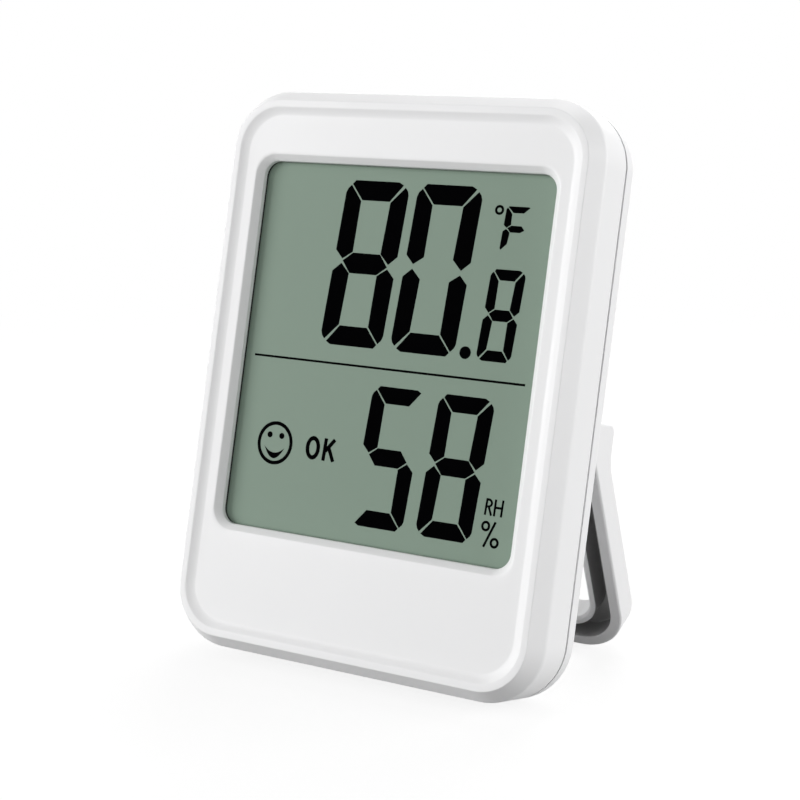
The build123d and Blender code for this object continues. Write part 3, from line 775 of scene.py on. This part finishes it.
@dataclass
class RepeatedSet:
    """Shape that a geometry tree repeats on its places, with the fields as the tree's named sizes."""

    def shape(self, sheet: NodeSheet, size: dict[str, Socket]) -> Socket:
        """Draws the shape on the origin, towards the back of the case.

        Args:
            sheet: the tree's nodes.
            size: the sockets of the sizes, by the names of the fields.

        Returns:
            The shape's socket.
        """
        raise NotImplementedError

    def tree(self, coats: Iterable[tuple[Material, str]]) -> tuple[bpy.types.NodeTree, dict[str, float]]:
        """Builds the tree.

        Args:
            coats: finishes, each with the name of the face attribute that it covers, or with an empty name
                where it covers all.

        Returns:
            The tree, and the sizes in metres by the identifiers of its inputs.
        """
        tree = bpy.data.node_groups.new(type(self).__name__, "GeometryNodeTree")
        for name, way in (("Places", "INPUT"), ("Result", "OUTPUT")):
            tree.interface.new_socket(name, in_out=way, socket_type="NodeSocketGeometry")
        titles = {size.name: size.name.replace("_", " ").title() for size in fields(self)}
        values = {}
        for size, title in titles.items():
            named = tree.interface.new_socket(title, in_out="INPUT", socket_type="NodeSocketFloat")
            values[named.identifier] = getattr(self, size) * MM
        sheet = NodeSheet(tree)
        entry = sheet.add("NodeGroupInput").outputs
        shape = self.shape(sheet, {size: entry[title] for size, title in titles.items()})
        repeated = sheet.add("GeometryNodeInstanceOnPoints", {"Points": entry["Places"], "Instance": shape})
        result = sheet.add("GeometryNodeRealizeInstances", {0: repeated.outputs[0]}).outputs[0]
        for material, attribute in coats:
            covered = {"Geometry": result, "Material": material}
            if attribute:
                covered["Selection"] = sheet.add("GeometryNodeInputNamedAttribute", {"Name": attribute},
                                                 data_type="BOOLEAN").outputs[0]
            result = sheet.add("GeometryNodeSetMaterial", covered).outputs[0]
        sheet.add("NodeGroupOutput", {0: result})
        return tree, values

    def mesh(self, places: list[Vector], *coats: tuple[Material, str]) -> Mesh:
        """Builds the shape on every place.

        Args:
            places: side, height and depth of each place in mm.
            coats: the finishes, as the tree takes them.

        Returns:
            The plain mesh, in place.
        """
        points = bpy.data.meshes.new("places")
        points.from_pydata([Vector((-place.x, place.y, place.z)) * MM for place in places], [], [])
        tree, values = self.tree(coats)
        mesh = modified(points, "NODES", {"node_group": tree}, values)
        mesh.transform(CASE.matrix @ Matrix.Rotation(math.pi, 4, "Y"))
        return mesh


@dataclass
class ScrewSet(RepeatedSet):
    """Pan-head screws with a cross recess, seen with their heads towards the back of the case.

    Attributes:
        head_radius: radius of the heads.
        head_height: height of the heads.
        shank_radius: radius of the shanks.
        shank_length: length of the shanks.
        crown: height of the head's dome.
        recess_width: width of the cross.
        recess_depth: depth of the cross.
        RECESS_SHARE: the cross's length as a share of the head's radius.
        FOOT_SHARE: the shank's end as a share of its radius.
        HEAD_STEPS: steps around the head.
        SHANK_STEPS: steps around the shank.
    """

    RECESS_SHARE: ClassVar[float] = 1.1
    FOOT_SHARE: ClassVar[float] = 0.6
    HEAD_STEPS: ClassVar[int] = 48
    SHANK_STEPS: ClassVar[int] = 32

    head_radius: float
    head_height: float
    shank_radius: float
    shank_length: float
    crown: float = 0.3
    recess_width: float = 0.5
    recess_depth: float = 0.6

    def shape(self, sheet: NodeSheet, size: dict[str, Socket]) -> Socket:
        """Draws one screw.

        Args:
            sheet: the tree's nodes.
            size: the sockets of the sizes, by the names of the fields.

        Returns:
            The screw's socket.
        """
        radius, height, length = size["head_radius"], size["head_height"], size["shank_length"]
        head = sheet.cylinder(radius, height, self.HEAD_STEPS, rings=8)
        place = sheet.add("GeometryNodeInputPosition").outputs[0]
        side, across, up = sheet.add("ShaderNodeSeparateXYZ", {0: place}).outputs
        square = sheet.math("ADD", *(sheet.math("MULTIPLY", part, part) for part in (side, across)))
        share = sheet.math("DIVIDE", square, sheet.math("MULTIPLY", radius, radius))
        fall = sheet.math("MULTIPLY", sheet.math("POWER", share, 2.0), size["crown"])
        fallen = sheet.math("MULTIPLY", fall, sheet.math("GREATER_THAN", up, 0.0))
        lift = sheet.math("SUBTRACT", sheet.math("MULTIPLY", height, 0.5), fallen)
        offset = sheet.add("ShaderNodeCombineXYZ", {"Z": lift}).outputs[0]
        dome = sheet.add("GeometryNodeSetPosition", {"Geometry": head, "Offset": offset}).outputs[0]
        reach, width = sheet.math("MULTIPLY", radius, self.RECESS_SHARE), size["recess_width"]
        deep = sheet.math("MULTIPLY", size["recess_depth"], 2.0)
        bars = [sheet.moved(sheet.brick(*sides, deep), Z=height)
                for sides in ((reach, width), (width, reach))]
        cross = sheet.combined("UNION", {1: bars})
        cut = sheet.combined("DIFFERENCE", {0: dome, 1: cross})
        foot = sheet.math("MULTIPLY", size["shank_radius"], self.FOOT_SHARE)
        stem = sheet.add("GeometryNodeMeshCone", {
            "Vertices": self.SHANK_STEPS, "Radius Top": size["shank_radius"], "Radius Bottom": foot,
            "Depth": length})
        low = sheet.moved(stem.outputs[0], Z=sheet.math("MULTIPLY", length, -1.0))
        return sheet.add("GeometryNodeJoinGeometry", {0: [cut, low]}).outputs[0]


@dataclass
class PostSet(RepeatedSet):
    """Round posts behind the front panel, each with a blind pilot hole for its screw.

    Attributes:
        radius: radius of the posts.
        pilot_radius: radius of the holes.
        height: height of the posts.
        pilot_depth: depth of the holes.
        STEPS: steps around a post.
        PILOT_STEPS: steps around a hole.
    """

    STEPS: ClassVar[int] = 48
    PILOT_STEPS: ClassVar[int] = 32

    radius: float
    pilot_radius: float
    height: float
    pilot_depth: float

    def shape(self, sheet: NodeSheet, size: dict[str, Socket]) -> Socket:
        """Draws one post.

        Args:
            sheet: the tree's nodes.
            size: the sockets of the sizes, by the names of the fields.

        Returns:
            The post's socket.
        """
        half = sheet.math("MULTIPLY", size["height"], 0.5)
        post = sheet.cylinder(size["radius"], size["height"], self.STEPS)
        reach = sheet.math("MULTIPLY", size["pilot_depth"], 2.0)
        drill = sheet.moved(sheet.cylinder(size["pilot_radius"], reach, self.PILOT_STEPS), Z=half)
        return sheet.moved(sheet.combined("DIFFERENCE", {0: post, 1: drill}), Z=half)


@dataclass
class ChipSet(RepeatedSet):
    """Small ceramic chips with tinned ends.

    Attributes:
        length: length of a chip.
        width: width of a chip.
        height: height of a chip.
        cap: length of a tinned end.
        step: how far the ceramic lies below the tinned ends.
        TINNED: name of the face attribute that marks the tinned ends.
    """

    TINNED: ClassVar[str] = "tinned"

    length: float = 1.6
    width: float = 0.8
    height: float = 0.5
    cap: float = 0.3
    step: float = 0.03

    def shape(self, sheet: NodeSheet, size: dict[str, Socket]) -> Socket:
        """Draws one chip.

        Args:
            sheet: the tree's nodes.
            size: the sockets of the sizes, by the names of the fields.

        Returns:
            The chip's socket.
        """
        width, height, cap, step = (size[name] for name in ("width", "height", "cap", "step"))
        inner = sheet.math("SUBTRACT", size["length"], cap)
        slim = sheet.math("SUBTRACT", width, sheet.math("MULTIPLY", step, 2.0))
        low = sheet.math("SUBTRACT", height, step)
        bricks = [sheet.moved(sheet.brick(inner, slim, low), Z=sheet.math("MULTIPLY", low, 0.5))]
        for side in (-0.5, 0.5):
            end = sheet.moved(sheet.brick(cap, width, height), X=sheet.math("MULTIPLY", inner, side),
                              Z=sheet.math("MULTIPLY", height, 0.5))
            marked = {"Geometry": end, "Name": self.TINNED, "Value": True}
            bricks.append(sheet.add("GeometryNodeStoreNamedAttribute", marked, data_type="BOOLEAN",
                                    domain="FACE").outputs[0])
        return sheet.add("GeometryNodeJoinGeometry", {0: bricks}).outputs[0]


@dataclass(frozen=True)
class Cell:
    """Small round cell, turned around its axis from its flat end to its nub.

    Attributes:
        side: side of its axis.
        low: height of its lower end.
        upright: whether its nub is up.
        radius: its radius.
        length: its length with the nub.
        nub_radius: radius of the nub.
        nub_height: height of the nub.
        depth: depth of its axis behind the rim.
        band: length of the sleeve's pale band.
        fold: how far its rolled edges rise.
        turn: how far its edges are drawn in.
        steps: steps around it.
    """

    side: float
    low: float
    upright: bool
    radius: float = 5.25
    length: float = 44.5
    nub_radius: float = 1.9
    nub_height: float = 1.2
    depth: float = 15.75
    band: float = 9.0
    fold: float = 0.16
    turn: float = 0.12
    steps: int = 64

    def outline(self) -> list[tuple[float, float, int]]:
        """Gives the radius and place of each ring, and the finish of the band after it.

        Returns:
            The rings, from the flat end to the nub.
        """
        metal, sleeve, band, seal = range(4)
        rim, body = self.radius, self.length - self.nub_height
        nub, top = self.nub_radius, self.length
        fold, turn = self.fold, self.turn
        return [(0.0, 0.0, metal), (rim - 1.7, 0.0, metal), (rim - 1.55, fold, metal),
                (rim - 1.05, fold, sleeve), (rim - 0.85, 0.03, sleeve), (rim - 0.4, 0.03, sleeve),
                (rim - turn, fold, sleeve), (rim, 0.5, sleeve), (rim, body - self.band, band),
                (rim, body - 0.5, band), (rim - turn, body - fold, band), (rim - 0.4, body, band),
                (rim - 0.75, body, band), (rim - 0.9, body - 0.14, seal),
                (nub + 0.9, body - 0.2, metal), (nub + 0.5, body - 0.1, metal), (nub + 0.08, body, metal),
                (nub, body + 0.2, metal), (nub, top - 0.25, metal), (nub - 0.1, top - 0.07, metal),
                (nub - 0.3, top, metal), (0.0, top, metal)]

    def mesh(self, coats: list[Material]) -> Mesh:
        """Builds the cell.

        Args:
            coats: the finishes of its metal, sleeve, band and seal.

        Returns:
            The mesh, in place.
        """
        rows, finishes = [], []
        for radius, place, finish in self.outline():
            height = self.low + (place if self.upright else self.length - place)
            turns = [math.tau * step / self.steps for step in range(self.steps)] if radius else [0.0]
            rows.append([CASE.at(self.side + radius * math.cos(turn), height,
                                 self.depth + radius * math.sin(turn)) for turn in turns])
            finishes.append(finish)
        mesh = skinned(rows, finishes)
        for coat in coats:
            mesh.materials.append(coat)
        return smoothed(mesh)


class Segment(Enum):
    """The seven segments of a numeral."""

    TOP = "top"
    UPPER_LEFT = "upper left"
    UPPER_RIGHT = "upper right"
    MIDDLE = "middle"
    LOWER_LEFT = "lower left"
    LOWER_RIGHT = "lower right"
    BOTTOM = "bottom"


UPRIGHTS = {Segment.UPPER_LEFT, Segment.UPPER_RIGHT, Segment.LOWER_LEFT, Segment.LOWER_RIGHT}
NUMERALS: dict[str, set[Segment]] = {
    "0": UPRIGHTS | {Segment.TOP, Segment.BOTTOM},
    "5": {Segment.TOP, Segment.UPPER_LEFT, Segment.MIDDLE, Segment.LOWER_RIGHT, Segment.BOTTOM},
    "8": UPRIGHTS | {Segment.TOP, Segment.MIDDLE, Segment.BOTTOM},
    "F": {Segment.TOP, Segment.UPPER_LEFT, Segment.MIDDLE, Segment.LOWER_LEFT},
}


@dataclass
class DisplayMarks:
    """Dark marks of the display, as thin outlines laid on its ground.

    Attributes:
        slant: how far the numerals lean, in degrees.
        gap: width of the gaps between segments.
        thickness: thickness of the marks.
        depth: depth of the display's ground behind the rim.
        weld: distance within which corners are one.
        step_angle: turn of each step along an oval stroke, in degrees.
        outlines: the outlines gathered so far, in mm on the face.
    """

    slant: float = 3.6
    gap: float = 0.115
    thickness: float = 0.015
    depth: float = 2.6
    weld: float = 0.001
    step_angle: float = 10.0
    outlines: list[list[Point]] = field(default_factory=list)

    def leaned(self, place: Point, points: list[Point]) -> list[Point]:
        """Leans a numeral's points to the right and puts them in place."""
        lean = math.tan(math.radians(self.slant))
        return [(place[0] + side + height * lean, place[1] + height) for side, height in points]

    def numeral(self, sign: str, place: Point, height: float, width: float, weight: float = 1.0) -> None:
        """Adds one numeral of seven segments.

        Args:
            sign: the numeral.
            place: its lower left corner.
            height: its height.
            width: its width.
            weight: how heavy its bars are.
        """
        upright, bar, corner = 0.27 * width, 0.119 * height * weight, 0.078 * height
        middle, rise, gap = height / 2, 0.0087 * height, self.gap
        notch, tip, slope = 0.064 * height, 0.0135 * height, 0.062 * height * weight
        joint_side = 0.127 * width
        top = [(0.4 * corner + gap, height - 0.3 * corner), (0.72 * corner, height),
               (width - corner, height), (width - 0.57 * corner, height - 0.22 * corner),
               (width - upright - gap, height - bar), (upright + gap, height - bar)]
        left = [(0.39 * corner, height - 0.38 * corner), (0.12 * corner, height - 0.66 * corner),
                (0, height - corner), (0, middle + rise + notch + gap / 2), (joint_side, middle + rise + tip),
                (upright + gap / 2, middle + slope + gap), (upright - gap / 2, height - bar - 1.2 * gap)]
        right = [(width - upright + gap / 2, height - bar - 1.2 * gap),
                 (width - upright - gap / 2, middle + slope + gap / 2),
                 (width - joint_side, middle - rise + tip), (width, middle - rise + notch),
                 (width, height - corner), (width - 0.12 * corner, height - 0.66 * corner),
                 (width - 0.37 * corner, height - 0.39 * corner)]
        across = [(joint_side + gap, middle + rise + gap / 2), (upright + 1.3 * gap, middle + slope),
                  (width - upright - gap, middle + slope),
                  (width - joint_side - gap, middle - rise - gap / 2),
                  (width - upright - 1.3 * gap, middle - slope), (upright + gap, middle - slope)]

        def turned(points: list[Point]) -> list[Point]:
            """Turns a segment half around the numeral's middle."""
            return [(width - side, height - up) for side, up in points]

        shapes = {Segment.TOP: top, Segment.UPPER_LEFT: left, Segment.UPPER_RIGHT: right,
                  Segment.MIDDLE: across, Segment.LOWER_LEFT: turned(right),
                  Segment.LOWER_RIGHT: turned(left), Segment.BOTTOM: turned(top)}
        for segment in sorted(NUMERALS[sign], key=lambda found: found.value):
            self.outlines.append(self.leaned(place, shapes[segment]))

    def strokes(self, width: float, *lines: tuple[Point, Point]) -> None:
        """Adds straight strokes with square ends.

        Args:
            width: their width.
            lines: where each starts and ends.
        """
        for first, last in ((Vector(start), Vector(end)) for start, end in lines):
            along = (last - first).normalized() * width / 2
            across = Vector((-along.y, along.x))
            corners = (first + across, first - across, last - across, last + across)
            self.outlines.append([tuple(corner) for corner in corners])

    def band(self, first: list[Point], second: list[Point]) -> None:
        """Adds the quads between two rows of points."""
        for number in range(len(first) - 1):
            self.outlines.append([first[number], first[number + 1], second[number + 1], second[number]])

    def oval(self, middle: Point, radii: Point, steps: int, stretch: Point = (0.0, 360.0)) -> list[Point]:
        """Gives points along an oval, or along a stretch of one.

        Args:
            middle: its middle.
            radii: its radii to the side and up.
            steps: steps along it.
            stretch: where it starts and ends, in degrees.

        Returns:
            The points, one more than the steps.
        """
        start, end = stretch
        turns = [math.radians(start + (end - start) * place / steps) for place in range(steps + 1)]
        return [(middle[0] + radii[0] * math.cos(turn), middle[1] + radii[1] * math.sin(turn))
                for turn in turns]

    def loop(self, middle: Point, radii: Point, width: float, stretch: Point = (0.0, 360.0)) -> None:
        """Adds an oval stroke, or a stretch of one.

        Args:
            middle: its middle.
            radii: its outer radii to the side and up.
            width: the stroke's width.
            stretch: where it starts and ends, in degrees.
        """
        steps = round((stretch[1] - stretch[0]) / self.step_angle)
        inner = tuple(reach - width for reach in radii)
        self.band(*(self.oval(middle, reach, steps, stretch) for reach in (radii, inner)))

    def dot(self, middle: Point, radius: float, steps: int = 28) -> None:
        """Adds a round dot."""
        self.outlines.append(self.oval(middle, (radius, radius), steps)[:-1])

    def smile(self, middle: Point, half_width: float, drops: Point, steps: int = 12) -> None:
        """Adds a crescent that hangs between two points.

        Args:
            middle: the middle between the two points.
            half_width: half of its width.
            drops: how deep its lower and upper edges hang.
            steps: steps along it.
        """
        shares = [-1 + 2 * place / steps for place in range(steps + 1)]
        self.band(*([(middle[0] + half_width * share, middle[1] - drop * (1 - share * share))
                     for share in shares] for drop in drops))

    def temperature(self) -> None:
        """Adds the temperature reading with its degree sign and unit letter."""
        low, large, small = 44.65, (23.19, 10.13), (12.35, 5.21)
        for sign, side in (("8", -11.11), ("0", 0.36)):
            self.numeral(sign, (side, low), *large)
        self.dot((12.15, 45.48), 0.86)
        self.numeral("8", (13.81, low), *small)
        self.loop((14.62, 64.9), (0.69, 0.67), 0.36)
        self.numeral("F", (15.3, 59.42), height=6.05, width=3.78, weight=1.2)

    def humidity(self) -> None:
        """Adds the line between the two readings and the humidity reading with its unit."""
        low, medium, thin = 20.24, (19.44, 8.5), 0.31
        for sign, side in (("5", -2.56), ("8", 7.94)):
            self.numeral(sign, (side, low), *medium)
        self.strokes(thin, ((-21.72, 42.05), (21.65, 42.05)), ((18.14, 24.42), (18.27, 26.66)),
                     ((18.25, 26.5), (18.5, 26.5)), ((18.22, 25.57), (18.5, 25.57)),
                     ((18.6, 25.5), (19.08, 24.42)), ((19.5, 24.4), (19.54, 26.64)),
                     ((20.54, 24.4), (20.62, 26.66)), ((19.54, 25.56), (20.56, 25.56)))
        self.loop((18.48, 26.04), (0.66, 0.62), thin, (-90, 90))
        for middle in ((18.49, 22.97), (20.04, 20.9)):
            self.loop(middle, (0.67, 0.71), 0.35)
        self.strokes(0.34, ((18.48, 20.2), (19.88, 23.66)))

    def comfort(self) -> None:
        """Adds the comfort sign and its word."""
        side, height = -16.38, 29.88
        self.loop((side, height), (2.98, 3.08), 0.52)
        for eye in (-1.01, 1.01):
            self.dot((side + eye, height + 1.1), 0.43)
        self.smile((side, height - 0.56), 1.7, (1.64, 0.82))
        self.loop((-9.95, 29.95), (1.19, 1.66), 0.6)
        self.strokes(0.55, ((-8.05, 28.36), (-7.9, 31.52)), ((-7.86, 29.72), (-6.46, 31.46)),
                     ((-7.34, 30.24), (-6.42, 28.4)))

    def mesh(self) -> Mesh:
        """Builds the marks as one thin mesh.

        Returns:
            The mesh, in place.
        """
        self.temperature()
        self.humidity()
        self.comfort()
        shape = bmesh.new()
        front = self.depth + self.thickness / 3
        for outline in self.outlines:
            flat = shape.faces.new([shape.verts.new(CASE.at(*place, front)) for place in outline])
            flat.normal_update()
            if flat.normal.dot(CASE.front) > 0:
                flat.normal_flip()
            raised = bmesh.ops.extrude_face_region(shape, geom=[flat])["geom"]
            moved = [part for part in raised if isinstance(part, bmesh.types.BMVert)]
            bmesh.ops.translate(shape, verts=moved, vec=CASE.front * self.thickness * MM)
        bmesh.ops.remove_doubles(shape, verts=shape.verts, dist=self.weld * MM)
        return finished(shape)


@dataclass
class Housing:
    """The case's moulded pieces: front casing, rear cover, battery door and unit button, with its screws.

    Attributes:
        palette: the finishes.
        screw_side: side of the case screws.
        screw_end: distance of the case screws from the case's ends.
        height: the case's height.
        well_depth: depth of the screws' seats.
        panel_back: depth of the posts' feet, at the front panel's back.
    """

    palette: Palette
    screw_side: float = 22.9
    screw_end: float = 5.6
    height: float = 80.0
    well_depth: float = 9.9
    panel_back: float = 2.6

    def build(self) -> None:
        """Builds and dresses the housing."""
        white = self.palette["white_moulding"]
        Piece("front_shell", Body.CASE, "case_plastic", ("front_casing",)).place(FrontCasing().mesh(), white)
        cover = SoftenedCopy("rear_cover", 0.08, deepest=8.7)
        door, button = SoftenedCopy("battery_door", 0.10), SoftenedCopy("unit_button", 0.08)
        for name, body, slot, copy, finish in (
                ("rear_shell", Body.CASE, "case_plastic", cover, white),
                ("door_panel", Body.DOOR, "case_plastic", door, white),
                ("unit_key", Body.BUTTON, "button_plastic", button, self.palette["grey_button"])):
            Piece(name, body, slot, (copy.node,)).place(copy.mesh(), finish)
        corners = [(side, height) for side in (-self.screw_side, self.screw_side)
                   for height in (self.screw_end, self.height - self.screw_end)]
        seats = [Vector((*corner, self.well_depth)) for corner in corners]
        screws = ScrewSet(head_radius=1.9, head_height=1.3, shank_radius=0.85, shank_length=5.4)
        Piece("cover_screws", Body.CASE, "screw_steel", ("case_screws",)).place(
            smoothed(screws.mesh(seats, (self.palette["zinc_plate"], ""))))
        bosses = PostSet(radius=2.2, pilot_radius=0.9, height=6.0, pilot_depth=4.5)
        self.posts("cover_bosses", bosses, corners)
        posts = PostSet(radius=1.8, pilot_radius=0.65, height=3.7, pilot_depth=2.6)
        self.posts("board_posts", posts, Inside.BOARD_POSTS)

    def posts(self, name: str, posts: PostSet, places: Iterable[Point]) -> None:
        """Adds posts of the front casing.

        Args:
            name: the piece's name.
            posts: the sizes of the posts.
            places: side and height of each post in mm.
        """
        stands = [Vector((*place, self.panel_back)) for place in places]
        mesh = posts.mesh(stands, (self.palette["white_moulding"], ""))
        Piece(name, Body.CASE, "case_plastic", ("front_casing",)).place(smoothed(mesh))


@dataclass
class Stand:
    """Folding stand of channel section."""

    palette: Palette

    def build(self) -> None:
        """Builds and dresses the stand."""
        Piece("folding_stand", Body.STAND, "stand_plastic", ("stand",)).place(
            SoftenedCopy("stand", 0.12, rings=3).mesh(), self.palette["stand_moulding"])


@dataclass
class Display:
    """The display's marks."""

    palette: Palette

    def build(self) -> None:
        """Builds and dresses the display."""
        Piece("display_marks", Body.CASE, "display_film").place(
            DisplayMarks().mesh(), self.palette["display_segment"])


@dataclass
class Inside:
    """Pieces inside the case: board screws, chips and cells, and finishes for those that keep their shape.

    Attributes:
        palette: the finishes.
        board_back: depth of the board's back behind the rim.
        chip_columns: sides of the chips' columns.
        chip_rows: heights of the chips' rows.
        cell_spacing: distance between the cells' axes.
        cell_low: height of the cells' lower ends.
        finishes: finish of each node that keeps its shape.
    """

    BOARD_POSTS: ClassVar[tuple[Point, ...]] = ((-18.0, 10.5), (18.0, 10.5), (-12.0, 74.6), (12.0, 74.6))

    palette: Palette
    board_back: float = 7.3
    chip_columns: tuple[float, ...] = (14.88, 18.08, 21.28)
    chip_rows: tuple[float, ...] = (29.18, 31.78, 34.38, 36.98)
    cell_spacing: float = 10.8
    cell_low: float = 12.6
    finishes: dict[str, str] = field(default_factory=lambda: {
        "display_gasket": "black_foam",
        "lcd_front_polarizer": "display_ground",
        "lcd_front_glass": "display_glass",
        "lcd_rear_glass": "display_glass",
        "lcd_reflector": "reflector_film",
        "lcd_holder": "natural_moulding",
        "rubber_connector": "striped_rubber",
        "main_board": "solder_mask",
        "controller_blob": "black_resin",
        "watch_crystal": "drawn_can",
        "humidity_sensor": "black_moulding",
        "thermistor": "black_resin",
        "unit_switch": "black_moulding",
        "switch_plunger": "black_moulding",
        "contact_bridge": "nickel_strip",
        "contact_positive": "nickel_strip",
        "contact_negative": "nickel_strip",
    })

    def build(self) -> None:
        """Builds and dresses the pieces inside."""
        zinc, ceramic = self.palette["zinc_plate"], self.palette["fired_ceramic"]
        heads = [Vector((*place, self.board_back)) for place in self.BOARD_POSTS]
        screws = ScrewSet(head_radius=1.3, head_height=0.9, shank_radius=0.6, shank_length=3.2, crown=0.2,
                          recess_width=0.35, recess_depth=0.4)
        Piece("holding_screws", Body.CASE, "screw_steel", ("board_screws",)).place(
            smoothed(screws.mesh(heads, (zinc, ""))))
        seats = [Vector((side, height, self.board_back)) for side in self.chip_columns
                 for height in self.chip_rows]
        Piece("chips", Body.CASE, "chip_ceramic", ("chip_components",)).place(
            ChipSet().mesh(seats, (ceramic, ""), (zinc, ChipSet.TINNED)))
        self.cells()
        self.dress()

    def cells(self) -> None:
        """Adds the two cells, the second with its nub down."""
        coats = [self.palette[name] for name in ("nickel_strip", "cell_sleeve", "cell_band", "cell_seal")]
        for name, side, upright in (("left", -0.5, True), ("right", 0.5, False)):
            cell = Cell(side * self.cell_spacing, self.cell_low, upright)
            Piece(f"cell_{name}", Body.CASE, "cell_jacket", (f"battery_{name}",)).place(cell.mesh(coats))

    def dress(self) -> None:
        """Gives every carried node its finish."""
        for node, finish in self.finishes.items():
            mesh = frame["nodes"][node].data
            mesh.materials.clear()
            mesh.materials.append(self.palette[finish])
            log.info("%s: %s", node, finish)


@dataclass
class Studio:
    """Floor, world, lamps and camera.

    Attributes:
        target: what the camera and the lamps are set around, in metres.
        camera_place: the camera's place in metres.
        azimuth: the camera's turn to the right, in degrees.
        elevation: the camera's height, in degrees.
        lens: the camera's focal length in mm.
        floor_half: half of the floor's width in metres.
        floor_color: the floor's colour as a reflector.
        floor_glow: what brings the lit floor up to white to the camera.
        floor_fade: distances over which the floor turns into the white backdrop.
        ambient: strength of the light from all around.
        lamps: direction and power in watts of each lamp.
        lamp_distance: how far the lamps stand from the object, in metres.
        lamp_size: width of the lamps in metres.
    """

    target: Vector = field(default_factory=lambda: Vector((0.0, 0.0, 0.038)))
    camera_place: Vector = field(default_factory=lambda: Vector((0.12699, -0.21512, 0.09055)))
    azimuth: float = 30.85
    elevation: float = 12.06
    lens: float = 81.46
    floor_half: float = 3.0
    floor_color: Color = (0.24, 0.24, 0.24)
    floor_glow: float = 0.825
    floor_fade: Point = (0.10, 0.32)
    ambient: float = 0.13
    lamps: dict[str, tuple[Color, float]] = field(default_factory=lambda: {
        "key": ((-0.74, -0.62, 0.22), 19.0),
        "front": ((0.0, -0.97, 0.24), 6.8),
        "left": ((-0.95, -0.28, 0.12), 1.5),
        "side": ((0.98, 0.05, 0.2), 9.9),
        "rear_side": ((0.85, 0.5, 0.2), 14.2),
        "rear_top": ((-0.1, 0.55, 0.8), 8.4),
        "back": ((-0.35, 0.9, 0.25), 6.5),
    })
    lamp_distance: float = 1.6
    lamp_size: float = 0.9

    def build(self) -> None:
        """Builds the studio."""
        self.camera()
        self.floor()
        self.world()
        for name, (direction, power) in self.lamps.items():
            self.lamp(name, direction, power)
        bpy.context.scene.view_settings.view_transform = "Standard"

    def camera(self) -> None:
        """Adds the camera at the photograph's angle."""
        turn, rise = math.radians(self.azimuth), math.radians(self.elevation)
        back = Vector((math.sin(turn) * math.cos(rise), -math.cos(turn) * math.cos(rise), math.sin(rise)))
        right = Vector((0, 0, 1)).cross(back).normalized()
        data = bpy.data.cameras.new("camera")
        data.lens = self.lens
        data.sensor_width = 36.0
        data.clip_start = 0.01
        camera = linked("camera", data)
        camera.matrix_world = Matrix.Translation(self.camera_place) @ Matrix(
            (right, back.cross(right), back)).transposed().to_4x4()
        bpy.context.scene.camera = camera

    def floor(self) -> None:
        """Adds the pale floor, which looks white round the object but keeps its shadow."""
        half = self.floor_half
        mesh = bpy.data.meshes.new("floor")
        mesh.from_pydata([(-half, -half, 0), (half, -half, 0), (half, half, 0), (-half, half, 0)], [],
                         [(0, 1, 2, 3)])
        material = bpy.data.materials.new("pale_floor")
        material.use_nodes = True
        material.node_tree.nodes.clear()
        sheet = NodeSheet(material.node_tree)
        place = sheet.add("ShaderNodeTexCoord").outputs["Object"]
        away = sheet.add("ShaderNodeVectorMath", {0: place}, operation="LENGTH").outputs["Value"]
        matt = sheet.add("ShaderNodeBsdfDiffuse", {"Color": opaque(self.floor_color)})
        glow = sheet.add("ShaderNodeEmission", {"Color": opaque((1, 1, 1)), "Strength": self.floor_glow})
        near = sheet.add("ShaderNodeAddShader", {0: matt.outputs[0], 1: glow.outputs[0]})
        white = sheet.add("ShaderNodeEmission", {"Color": opaque((1, 1, 1)), "Strength": 1.0})
        reach = sheet.ranged(away, self.floor_fade, (0.0, 1.0))
        looks = sheet.add("ShaderNodeMixShader", {0: reach, 1: near.outputs[0], 2: white.outputs[0]})
        mix = sheet.add("ShaderNodeMixShader", {0: self.seen(sheet), 1: matt.outputs[0], 2: looks.outputs[0]})
        sheet.add("ShaderNodeOutputMaterial", {"Surface": mix.outputs[0]})
        mesh.materials.append(material)
        floor = linked("floor", mesh)

    def seen(self, sheet: NodeSheet) -> Socket:
        """Tells rays that come from the camera, a reflection or a glass from the others.

        Args:
            sheet: the nodes to add to.

        Returns:
            Socket with 1 for such rays.
        """
        path = sheet.add("ShaderNodeLightPath")
        mirrored = sheet.math("MAXIMUM", path.outputs["Is Glossy Ray"], path.outputs["Is Transmission Ray"])
        return sheet.math("MAXIMUM", path.outputs["Is Camera Ray"], mirrored)

    def world(self) -> None:
        """Adds the white surroundings, dimmer as a light than they look."""
        world = bpy.data.worlds.new("studio")
        world.use_nodes = True
        world.node_tree.nodes.clear()
        sheet = NodeSheet(world.node_tree)
        dim = sheet.add("ShaderNodeBackground", {"Color": opaque((1, 1, 1)), "Strength": self.ambient})
        bright = sheet.add("ShaderNodeBackground", {"Color": opaque((1, 1, 1)), "Strength": 1.0})
        mix = sheet.add("ShaderNodeMixShader", {0: self.seen(sheet), 1: dim.outputs[0], 2: bright.outputs[0]})
        sheet.add("ShaderNodeOutputWorld", {"Surface": mix.outputs[0]})
        bpy.context.scene.world = world

    def lamp(self, name: str, direction: Color, power: float) -> None:
        """Adds a square soft lamp that faces the object.

        Args:
            name: the lamp's name.
            direction: where it stands, seen from the object.
            power: its power in watts.
        """
        data = bpy.data.lights.new(name, "AREA")
        data.shape = "SQUARE"
        data.size = self.lamp_size
        data.energy = power
        away = Vector(direction).normalized()
        lamp = linked(name, data)
        turn = away.to_track_quat("Z", "Y").to_matrix().to_4x4()
        lamp.matrix_world = Matrix.Translation(self.target + away * self.lamp_distance) @ turn


def main() -> None:
    """Builds the thermometer's looks and the studio around them."""
    logging.basicConfig(level=logging.INFO, format="%(message)s")
    palette = Palette()
    Inside(palette).build()
    Housing(palette).build()
    Stand(palette).build()
    Display(palette).build()
    Studio().build()


if __name__ == "__main__":
    main()
